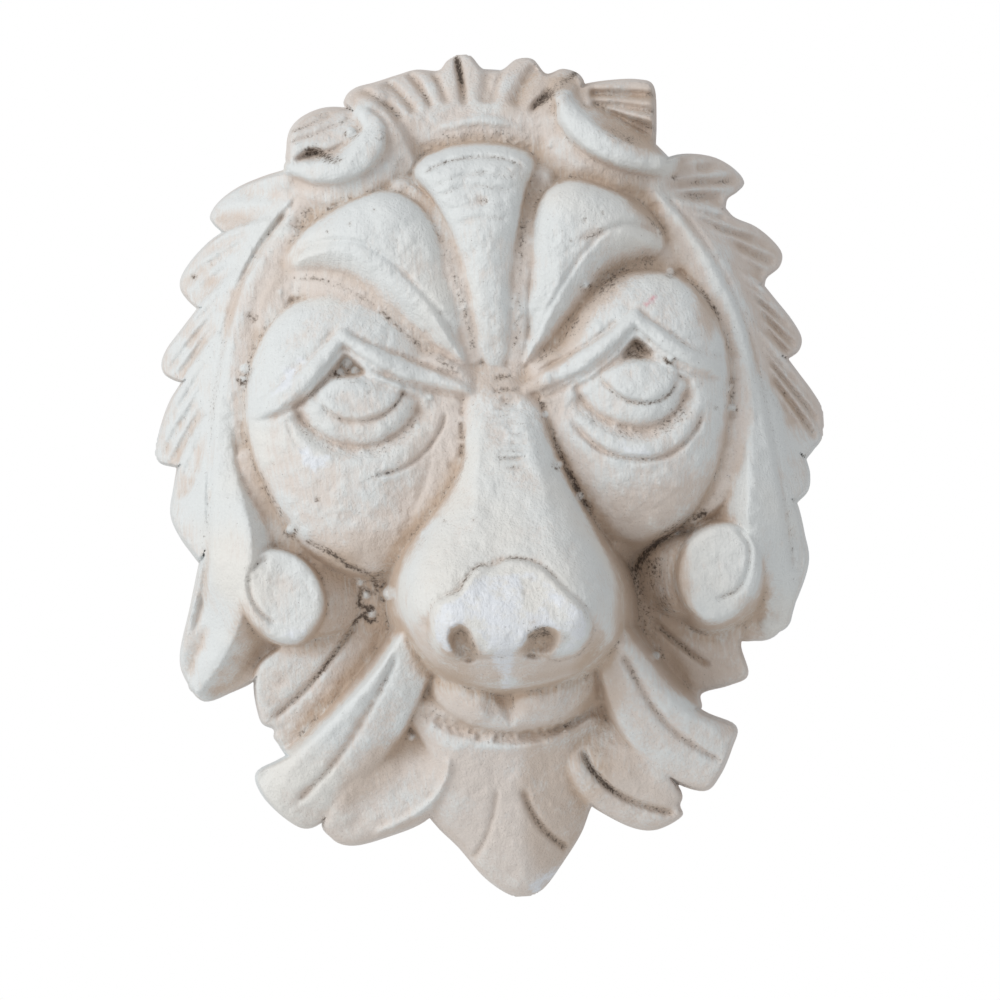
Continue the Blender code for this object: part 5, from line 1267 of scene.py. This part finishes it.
# Listed areas that thin the coat and deepen the shade colour: partly the wash, partly painted shade, as under
# the right brow, on the right of the chin and beside the scrolls. An amount below zero paints light onto an
# area instead.
wash_and_painted_shade = [
    ([(12, 32), (20, 40), (29, 50), (38, 53), (41, 49), (31, 44), (22, 34), (14, 26)], 1.0),
    ([(-3, 25), (6, 25), (13, 22), (12, 10), (7, 17), (-1, 18)], 0.6),
    ([(2, -63), (22, -61), (18, -76), (11, -89), (5, -93), (1, -84)], 0.85),
    ([(18, -66), (30, -72), (38, -80), (32, -85), (22, -80)], 0.35),
    ([(26, 86), (33, 84), (42, 80), (42, 76), (34, 78)], 0.9),
    ([(25, 92), (42, 91), (42, 82), (32, 86)], 0.75),
    ([(6, 90), (16, 98), (25, 94), (20, 88), (12, 86)], 0.6),
    ([(-20, 80), (-26, 90), (-16, 92), (-12, 86)], 0.25),
    ([(30, -30), (54, -38), (54, -50), (44, -54), (34, -50)], 0.7),
    ([(-45, -10), (-30, -12), (-20, -14), (-26, -20), (-40, -17)], 0.5),
    ([(52, 2), (50, -8), (35, -14), (22, -14), (28, -6), (42, -2)], 0.4),
    ([(-34, -60), (-26, -58), (-20, -50), (-26, -66), (-38, -76), (-42, -74)], 0.8),
    ([(-45, -16), (-36, -17), (-31, -27), (-36, -36), (-47, -36), (-42, -25)], 0.95),
    ([(44, -18), (34, -18), (28, -26), (32, -37), (45, -36), (43.5, -26)], 1.1),
    ([(37, 69), (43, 60), (49, 49), (52.5, 38), (53, 30), (49, 42), (43, 52), (35, 63)], 1.0),
    ([(15, -45), (23, -42), (27, -52), (24, -58), (16, -56)], 0.8),
    ([(-63.5, -25), (-58, -30), (-60, -42), (-71, -48), (-67, -38)], 0.6),
    ([(60, -26), (55, -32), (54, -40), (61, -41), (59, -34)], 0.5),
    ([(26, -18), (32, -30), (30, -40), (26, -36), (27, -26)], 1.0),
    ([(16, -48), (22, -60), (30, -70), (20, -70), (14, -62)], 0.4),
    ([(-14, -47), (0, -52), (14, -49), (16, -53), (0, -56), (-16, -52)], 0.45),
    ([(-15, -37), (-13, -33.6), (-9.8, -33.8), (-8, -38), (-7, -42), (-10, -43.4), (-13.8, -41)], 1.4),
    ([(-18, -42.6), (-11, -44.6), (-3.4, -45), (-3.4, -48), (-12, -47.4), (-18.6, -44.6)], 0.9),
    ([(3, -45), (10, -45.2), (17, -43), (21.4, -38), (22, -40), (17.6, -45.4), (9, -48), (3, -48.4)], 0.9),
    ([(2.8, -40.6), (4.8, -36.6), (8, -35), (11.4, -35.6), (12.4, -38.6), (9.4, -42.4), (4.4, -43)], 1.4),
    ([(-46, 61), (-50, 54), (-54.5, 44), (-57, 36), (-54, 38), (-50.5, 45), (-47, 52), (-44, 57)], 0.5),
    ([(-3, 30), (-4, 42), (-3, 50), (3, 50), (4, 42), (4, 30)], 0.35),
    ([(-12, 78), (-22, 74), (-14, 66), (-11, 60), (-8, 60), (-14, 72)], -0.3),
    ([(-57, 4), (-59, 20), (-57, 34), (-52, 45), (-44, 51), (-48, 44), (-54, 30), (-55, 12)], -0.35),
    ([(-28, -40), (-40, -52), (-60, -66), (-58, -70), (-44, -60), (-30, -46)], -0.45),
    ([(48, 52), (55, 36), (58, 16), (56, 0), (54, 0), (55, 20), (51, 38), (45, 50)], -0.15),
    ([(-44, 77), (-37, 71), (-26, 72), (-20, 79), (-26, 77), (-36, 75.5)], -0.4),
]
for outline, amount in wash_and_painted_shade:
    window, inward = within(outline)
    laid = amount * ease(inward + 0.8 * lumps[window], -2.5, 2.5)
    paint[window] = np.clip(paint[window] - laid, 0, 1)
    shade[window] = np.clip(shade[window] + 0.6 * laid, 0, 1)
paint = np.clip(paint + 0.5 * rubbed, 0, 1)
shade *= 1 - 0.7 * rubbed
patches = [
    (
        [
            (-48.4, 10.8), (-46, 11), (-43, 8.6), (-40.2, 8.2), (-40, 5.6), (-41.6, 3.4), (-39.4, 1.4),
            (-43.4, 1.8), (-46.4, 5.4),
        ],
        1.0,
    ),
    ([(-50, 27.5), (-46.4, 31.6), (-45.2, 30.6), (-48, 26), (-50.5, 24)], 0.9),
    ([(-54, 23.6), (-48, 27), (-45, 29), (-47, 25.6), (-52, 22.4)], 0.7),
    ([(-5, -42), (-2.5, -38), (2, -38.5), (2.4, -43), (0.6, -48), (-1.4, -49.6), (-3.4, -46)], 0.85),
    ([(-13, -30), (-8, -27), (-2, -26), (2, -30), (-1, -35), (-6, -37), (-10, -33)], 0.8),
    ([(11, -43), (17, -41), (18.5, -37), (15, -37.5), (12, -40.5)], 0.8),
    ([(4, -48.6), (9, -48.8), (13, -47), (10, -46.4), (6, -47.2)], 0.7),
    ([(-56, -35), (-50, -35.6), (-46, -32), (-47, -29.5), (-53, -32)], 0.6),
    ([(26, 6.2), (30, 4.6), (35, 3.8), (34, 6), (29, 7.8)], 0.6),
    ([(32, 0.5), (36, 0.2), (37, -1.6), (33, -1.4)], 0.5),
    ([(18, 28), (22, 29.4), (21, 27.6)], 0.6),
    ([(-1, -97.4), (2.6, -99.6), (6.4, -97.4), (9, -93.6), (5.6, -94.6), (2, -96)], 0.9),
]
for outline, amount in patches:
    window, inward = within(outline)
    ragged_edge = inward + 0.9 * lumps[window] + 0.5 * coarse_grit[window]
    fresh[window] = np.maximum(fresh[window], amount * ease(ragged_edge, -1.8, 2.8))
pink = np.zeros(grid_u.shape)
pink_mark = np.array([(36.9, 39.2), (38.6, 40.6), (39.4, 41.2)])
window, nearest, _, _ = follow(pink_mark, 3)
pink[window] = 0.7 * ease(0.6 - nearest + 0.3 * coarse_grit[window], 0, 0.6)
rim_thickness = 0.004
edge_slope = 30.0
height = np.minimum(height, rim_thickness / depth_share + edge_slope * cover)

# The casting itself: the grid is lifted to the carved heights, each point drawn towards the eye that the
# face was composed for, then cut off flat where the wall would be and closed with a plain back.
surface_triangles = 188000
smallest_edge = 2e-5
deepest = -20
sharp_angle = 75
rows, columns = height.shape
toward_eye = 1 - np.maximum(height, deepest) * depth_share / view_distance
points = np.stack(
    [
        grid_u * share * toward_eye,
        -height * depth_share,
        (eye_level + (grid_v - eye_level) * toward_eye) * share,
    ],
    -1,
)
points = np.clip(points, [low.x, low.y, low.z], [high.x, 1, high.z])
casting = bmesh.new()
bmesh.ops.create_grid(casting, x_segments=columns - 1, y_segments=rows - 1, size=1)
for vert in casting.verts:
    column = round((vert.co.x + 1) / 2 * (columns - 1))
    row = round((vert.co.y + 1) / 2 * (rows - 1))
    vert.co = points[row, column]
out_of_reach = 0.022
behind = [vert for vert in casting.verts if vert.co.y > out_of_reach]
bmesh.ops.delete(casting, geom=behind, context="VERTS")
parts = casting.verts[:] + casting.edges[:] + casting.faces[:]
bmesh.ops.bisect_plane(
    casting, geom=parts, dist=smallest_edge, plane_co=(0, 0, 0), plane_no=(0, 1, 0), clear_outer=True
)
bmesh.ops.triangulate(casting, faces=casting.faces)
mesh = bpy.data.meshes.new("lion_mask_casting")
casting.to_mesh(mesh)
casting.free()
draft = bpy.data.objects.new("draft", mesh)
bpy.context.collection.objects.link(draft)
collapse = draft.modifiers.new("collapse", "DECIMATE")
collapse.ratio = min(1.0, surface_triangles / len(mesh.polygons))
evaluated = draft.evaluated_get(bpy.context.evaluated_depsgraph_get())
mask_mesh = bpy.data.meshes.new_from_object(evaluated)
bpy.data.objects.remove(draft)
casting = bmesh.new()
casting.from_mesh(mask_mesh)
for vert in casting.verts:
    vert.co.y = max(vert.co.y, low.y)
for edge in casting.edges:
    if edge.is_boundary:
        for vert in edge.verts:
            vert.co.y = 0
bmesh.ops.dissolve_degenerate(casting, dist=smallest_edge, edges=casting.edges)
open_edges = [edge for edge in casting.edges if edge.is_boundary]
back = bmesh.ops.holes_fill(casting, edges=open_edges, sides=0)["faces"]
for face in bmesh.ops.triangulate(casting, faces=back, ngon_method="EAR_CLIP")["faces"]:
    face.material_index = 1
bmesh.ops.recalc_face_normals(casting, faces=casting.faces)
casting.to_mesh(mask_mesh)
casting.free()
mask_mesh.name = "lion_mask_casting"
mask_mesh.shade_smooth()
mask_mesh.set_sharp_from_angle(angle=np.radians(sharp_angle))
for polygon in mask_mesh.polygons:
    if polygon.material_index == 1:
        polygon.use_smooth = False
mask = bpy.data.objects.new("lion_mask_casting", mask_mesh)
bpy.context.collection.objects.link(mask)

count = len(mask_mesh.vertices)
places = np.zeros(count * 3)
mask_mesh.vertices.foreach_get("co", places)
places = places.reshape(-1, 3)
back_from_eye = 1 + places[:, 1] / view_distance
place_u = places[:, 0] / share / back_from_eye
place_v = (places[:, 2] / share - eye_level) / back_from_eye + eye_level
column = np.clip(np.round((place_u - grid_u[0, 0]) / grid_step).astype(int), 0, columns - 1)
row = np.clip(np.round((place_v - grid_v[0, 0]) / grid_step).astype(int), 0, rows - 1)
fields = {"paint": paint, "shade": shade, "dirt_and_shade": dirt_and_shade, "fresh": fresh, "pink": pink}
for name, field in fields.items():
    attribute = mask_mesh.attributes.new(name, "FLOAT", "POINT")
    attribute.data.foreach_set("value", field[row, column].astype(np.float32))

# The finish: cast plaster is warm and matt. The grain of it is a group, because the bare back shares it
# with the face; the face adds the wash, the dragged coat, the dirt, painted shade and a few fresh daubs of
# white.
grain = bpy.data.node_groups.new("plaster_grain", "ShaderNodeTree")
grain.interface.new_socket("Grain Size", in_out="INPUT", socket_type="NodeSocketFloat")
grain.interface.new_socket("Mottle", in_out="OUTPUT", socket_type="NodeSocketFloat")
grain.interface.new_socket("Height", in_out="OUTPUT", socket_type="NodeSocketFloat")


def add(tree, kind, place, **settings):
    """Adds one node at a place on the board; settings are its own properties."""
    node = tree.nodes.new(kind)
    node.location = place
    for key, value in settings.items():
        setattr(node, key, value)
    return node


def feed(tree, node, **values):
    """Gives the named inputs of a node plain values, or the outputs of other nodes."""
    for name, value in values.items():
        socket = node.inputs[name.replace("_", " ")]
        if isinstance(value, (int, float, tuple)):
            socket.default_value = value
        else:
            tree.links.new(value, socket)


def texture_noise(tree, place, vector, scale, detail, roughness):
    """The reading of a Noise Texture node; its scale is a number or a socket."""
    node = add(tree, "ShaderNodeTexNoise", place)
    feed(tree, node, Vector=vector, Scale=scale, Detail=detail, Roughness=roughness)
    return node.outputs["Fac"]


def bumped(tree, place, relief, strength, distance):
    """The normals of a Bump node over a height."""
    node = add(tree, "ShaderNodeBump", place)
    feed(tree, node, Height=relief, Strength=strength, Distance=distance)
    return node.outputs["Normal"]


def arithmetic(tree, operation, place, *numbers):
    """A Math node on sockets or plain numbers."""
    node = add(tree, "ShaderNodeMath", place, operation=operation)
    for socket, value in zip(node.inputs, numbers):
        if isinstance(value, (int, float)):
            socket.default_value = value
        else:
            tree.links.new(value, socket)
    return node.outputs[0]


inlet = add(grain, "NodeGroupInput", (-900, 0))
outlet = add(grain, "NodeGroupOutput", (400, 0))
on_object = add(grain, "ShaderNodeTexCoord", (-900, -200)).outputs["Object"]
pores = texture_noise(grain, (-500, 100), on_object, inlet.outputs["Grain Size"], detail=3, roughness=0.6)
clouds = texture_noise(grain, (-500, -200), on_object, scale=90, detail=6, roughness=0.6)
feed(grain, outlet, Mottle=clouds, Height=pores)


def blend(tree, place, amount, first, second):
    """A Mix node between two colours; each is a socket or a plain colour."""
    node = add(tree, "ShaderNodeMix", place, data_type="RGBA", clamp_factor=True)
    for socket, value in ((node.inputs[0], amount), (node.inputs[6], first), (node.inputs[7], second)):
        if isinstance(value, (tuple, float, int)):
            socket.default_value = value
        else:
            tree.links.new(value, socket)
    return node.outputs[2]


def stepped(tree, place, value, start, end):
    """Maps a value smoothly from 0 at start to 1 at end."""
    node = add(tree, "ShaderNodeMapRange", place, interpolation_type="SMOOTHSTEP")
    feed(tree, node, Value=value, From_Min=start, From_Max=end)
    return node.outputs["Result"]


wash_colour = (0.745, 0.69, 0.645, 1)
rosy_wash_colour = (0.745, 0.675, 0.64, 1)
deep_wash_and_shade_colour = (0.58, 0.465, 0.375, 1)
coat_colour = (0.805, 0.80, 0.775, 1)
cool_coat_colour = (0.765, 0.797, 0.808, 1)
fresh_colour = (0.81, 0.845, 0.90, 1)
stain_and_shade_colour = (0.34, 0.275, 0.225, 1)
dirt_colour = (0.125, 0.098, 0.08, 1)
pink_colour = (0.74, 0.30, 0.36, 1)

face = bpy.data.materials.new("rubbed_plaster")
face.use_nodes = True
tree = face.node_tree
shader = tree.nodes["Principled BSDF"]
shader.inputs["Specular IOR Level"].default_value = 0.35
where = {}
for i, name in enumerate(fields):
    node = add(tree, "ShaderNodeAttribute", (-1800, 300 - 180 * i), attribute_name=name)
    where[name] = node.outputs["Fac"]
surface = add(tree, "ShaderNodeGroup", (-1800, -700), node_tree=grain)
feed(tree, surface, Grain_Size=1700)
on_object = add(tree, "ShaderNodeTexCoord", (-2400, 600)).outputs["Object"]
turned = add(tree, "ShaderNodeMapping", (-2200, 600))
feed(tree, turned, Vector=on_object, Rotation=(0, 0.28, 0), Scale=(1500, 1500, 170))
streaks = texture_noise(tree, (-1980, 600), turned.outputs["Vector"], scale=1.0, detail=2, roughness=0.5)

brushed = arithmetic(tree, "MULTIPLY_ADD", (-1500, 600), streaks, 1.1, -0.55)
mottled = arithmetic(tree, "MULTIPLY_ADD", (-1500, 450), surface.outputs["Mottle"], 2.1, -1.05)
loaded = arithmetic(tree, "ADD", (-1300, 500), where["paint"], brushed)
loaded = arithmetic(tree, "ADD", (-1150, 500), loaded, mottled)
coated = stepped(tree, (-1000, 500), loaded, start=-0.1, end=0.95)
wash = blend(tree, (-1000, 200), surface.outputs["Mottle"], wash_colour, rosy_wash_colour)
# The deep colour follows the shade field: partly the wash, partly painted shade.
wash = blend(tree, (-800, 150), where["shade"], wash, deep_wash_and_shade_colour)
cool = texture_noise(tree, (-1500, 150), on_object, scale=28, detail=2, roughness=0.5)
cooled = stepped(tree, (-1300, 150), cool, start=0.3, end=0.52)
coat_now = blend(tree, (-800, 350), cooled, coat_colour, cool_coat_colour)
colour = blend(tree, (-600, 300), coated, wash, coat_now)
ragged = texture_noise(tree, (-1500, -300), on_object, scale=420, detail=5, roughness=0.7)
daub = arithmetic(tree, "MULTIPLY_ADD", (-1000, -200), ragged, 1.6, where["fresh"])
daub = stepped(tree, (-800, -200), daub, start=1.1, end=1.7)
colour = blend(tree, (-400, 250), daub, colour, fresh_colour)
colour = blend(tree, (-250, 200), where["pink"], colour, pink_colour)
# The dark stain below carries dirt and, in a few places, painted shade.
specks = texture_noise(tree, (-1500, -900), on_object, scale=1500, detail=3, roughness=0.65)
stained_and_shaded = arithmetic(tree, "MULTIPLY", (-1100, -1000), where["dirt_and_shade"], specks)
stained_and_shaded = stepped(tree, (-900, -1000), stained_and_shaded, start=0.0, end=0.62)
colour = blend(tree, (-100, 150), stained_and_shaded, colour, stain_and_shade_colour)
spotted = arithmetic(tree, "MULTIPLY_ADD", (-1100, -800), where["dirt_and_shade"], 0.36, specks)
spotted = stepped(tree, (-900, -800), spotted, start=0.62, end=0.9)
colour = blend(tree, (50, 100), spotted, colour, dirt_colour)
tree.links.new(colour, shader.inputs["Base Color"])
dry = arithmetic(tree, "MULTIPLY_ADD", (-600, -400), coated, -0.16, 0.8)
dry = arithmetic(tree, "MULTIPLY_ADD", (-400, -400), daub, -0.3, dry)
tree.links.new(dry, shader.inputs["Roughness"])
brush_marks = arithmetic(tree, "MULTIPLY", (-800, -600), streaks, 0.5)
relief_height = arithmetic(tree, "ADD", (-600, -600), brush_marks, surface.outputs["Height"])
roughened = bumped(tree, (-300, -600), relief_height, strength=0.75, distance=0.0004)
tree.links.new(roughened, shader.inputs["Normal"])

bare = bpy.data.materials.new("bare_plaster")
bare.use_nodes = True
tree = bare.node_tree
shader = tree.nodes["Principled BSDF"]
shader.inputs["Specular IOR Level"].default_value = 0.25
shader.inputs["Roughness"].default_value = 0.9
surface = add(tree, "ShaderNodeGroup", (-800, 0), node_tree=grain)
feed(tree, surface, Grain_Size=900)
bare_dark = (0.56, 0.52, 0.46, 1)
bare_light = (0.70, 0.67, 0.61, 1)
colour = blend(tree, (-400, 100), surface.outputs["Mottle"], bare_dark, bare_light)
tree.links.new(colour, shader.inputs["Base Color"])
roughened = bumped(tree, (-300, -300), surface.outputs["Height"], strength=0.5, distance=0.0002)
tree.links.new(roughened, shader.inputs["Normal"])

mask_mesh.materials.append(face)
mask_mesh.materials.append(bare)
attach(mask, "root")
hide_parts("lion_mask")

# The stage: a plain pale floor well below the mask, one large soft lamp in front at the upper left, and a
# bright even sky that the camera sees as plain white.
floor_level = -0.46
floor_half = 0.9
floor_mesh = bpy.data.meshes.new("floor")
tile = bmesh.new()
bmesh.ops.create_grid(tile, x_segments=1, y_segments=1, size=floor_half)
bmesh.ops.translate(tile, verts=tile.verts, vec=(0, 0, floor_level))
tile.to_mesh(floor_mesh)
tile.free()
floor = bpy.data.objects.new("floor", floor_mesh)
bpy.context.collection.objects.link(floor)
pale = bpy.data.materials.new("pale_floor")
pale.use_nodes = True
feed(pale.node_tree, pale.node_tree.nodes["Principled BSDF"], Base_Color=(0.9, 0.9, 0.89, 1), Roughness=0.9)
floor_mesh.materials.append(pale)

light = bpy.data.lights.new("key", "AREA")
light.size = 0.9
light.energy = 6.95
light.color = (1.0, 0.985, 0.96)
lamp = bpy.data.objects.new("key", light)
lamp.location = (-0.80, -0.75, 0.38)
aim = bpy.data.objects.new("key_aim", None)
bpy.context.collection.objects.link(lamp)
bpy.context.collection.objects.link(aim)
facing = lamp.constraints.new("TRACK_TO")
facing.target = aim
facing.track_axis = "TRACK_NEGATIVE_Z"
facing.up_axis = "UP_Y"

sky = bpy.data.worlds.new("studio")
sky.use_nodes = True
bpy.context.scene.world = sky
tree = sky.node_tree
lighting = tree.nodes["Background"]
feed(tree, lighting, Color=(0.985, 0.985, 0.985, 1), Strength=0.56)
backdrop = add(tree, "ShaderNodeBackground", (0, -200))
feed(tree, backdrop, Color=(1, 1, 1, 1), Strength=1.0)
ray = add(tree, "ShaderNodeLightPath", (0, 300))
chosen = add(tree, "ShaderNodeMixShader", (250, 100))
tree.links.new(ray.outputs["Is Camera Ray"], chosen.inputs[0])
tree.links.new(lighting.outputs[0], chosen.inputs[1])
tree.links.new(backdrop.outputs[0], chosen.inputs[2])
tree.links.new(chosen.outputs[0], tree.nodes["World Output"].inputs["Surface"])
bpy.context.scene.view_settings.view_transform = "Standard"

# The camera: straight in front of the mask at 400 mm, where the photograph was taken from, and turned a
# little, so that the mask leans to the left as it does there.
view_width = 0.2385
camera_height = -0.0048
lean = 3.3
lens = bpy.data.cameras.new("camera")
lens.sensor_width = 36
lens.lens = lens.sensor_width * view_distance / view_width
camera = bpy.data.objects.new("camera", lens)
camera.location = (0, -view_distance, camera_height)
camera.rotation_euler = (np.radians(90), np.radians(lean), 0)
bpy.context.collection.objects.link(camera)
bpy.context.scene.camera = camera
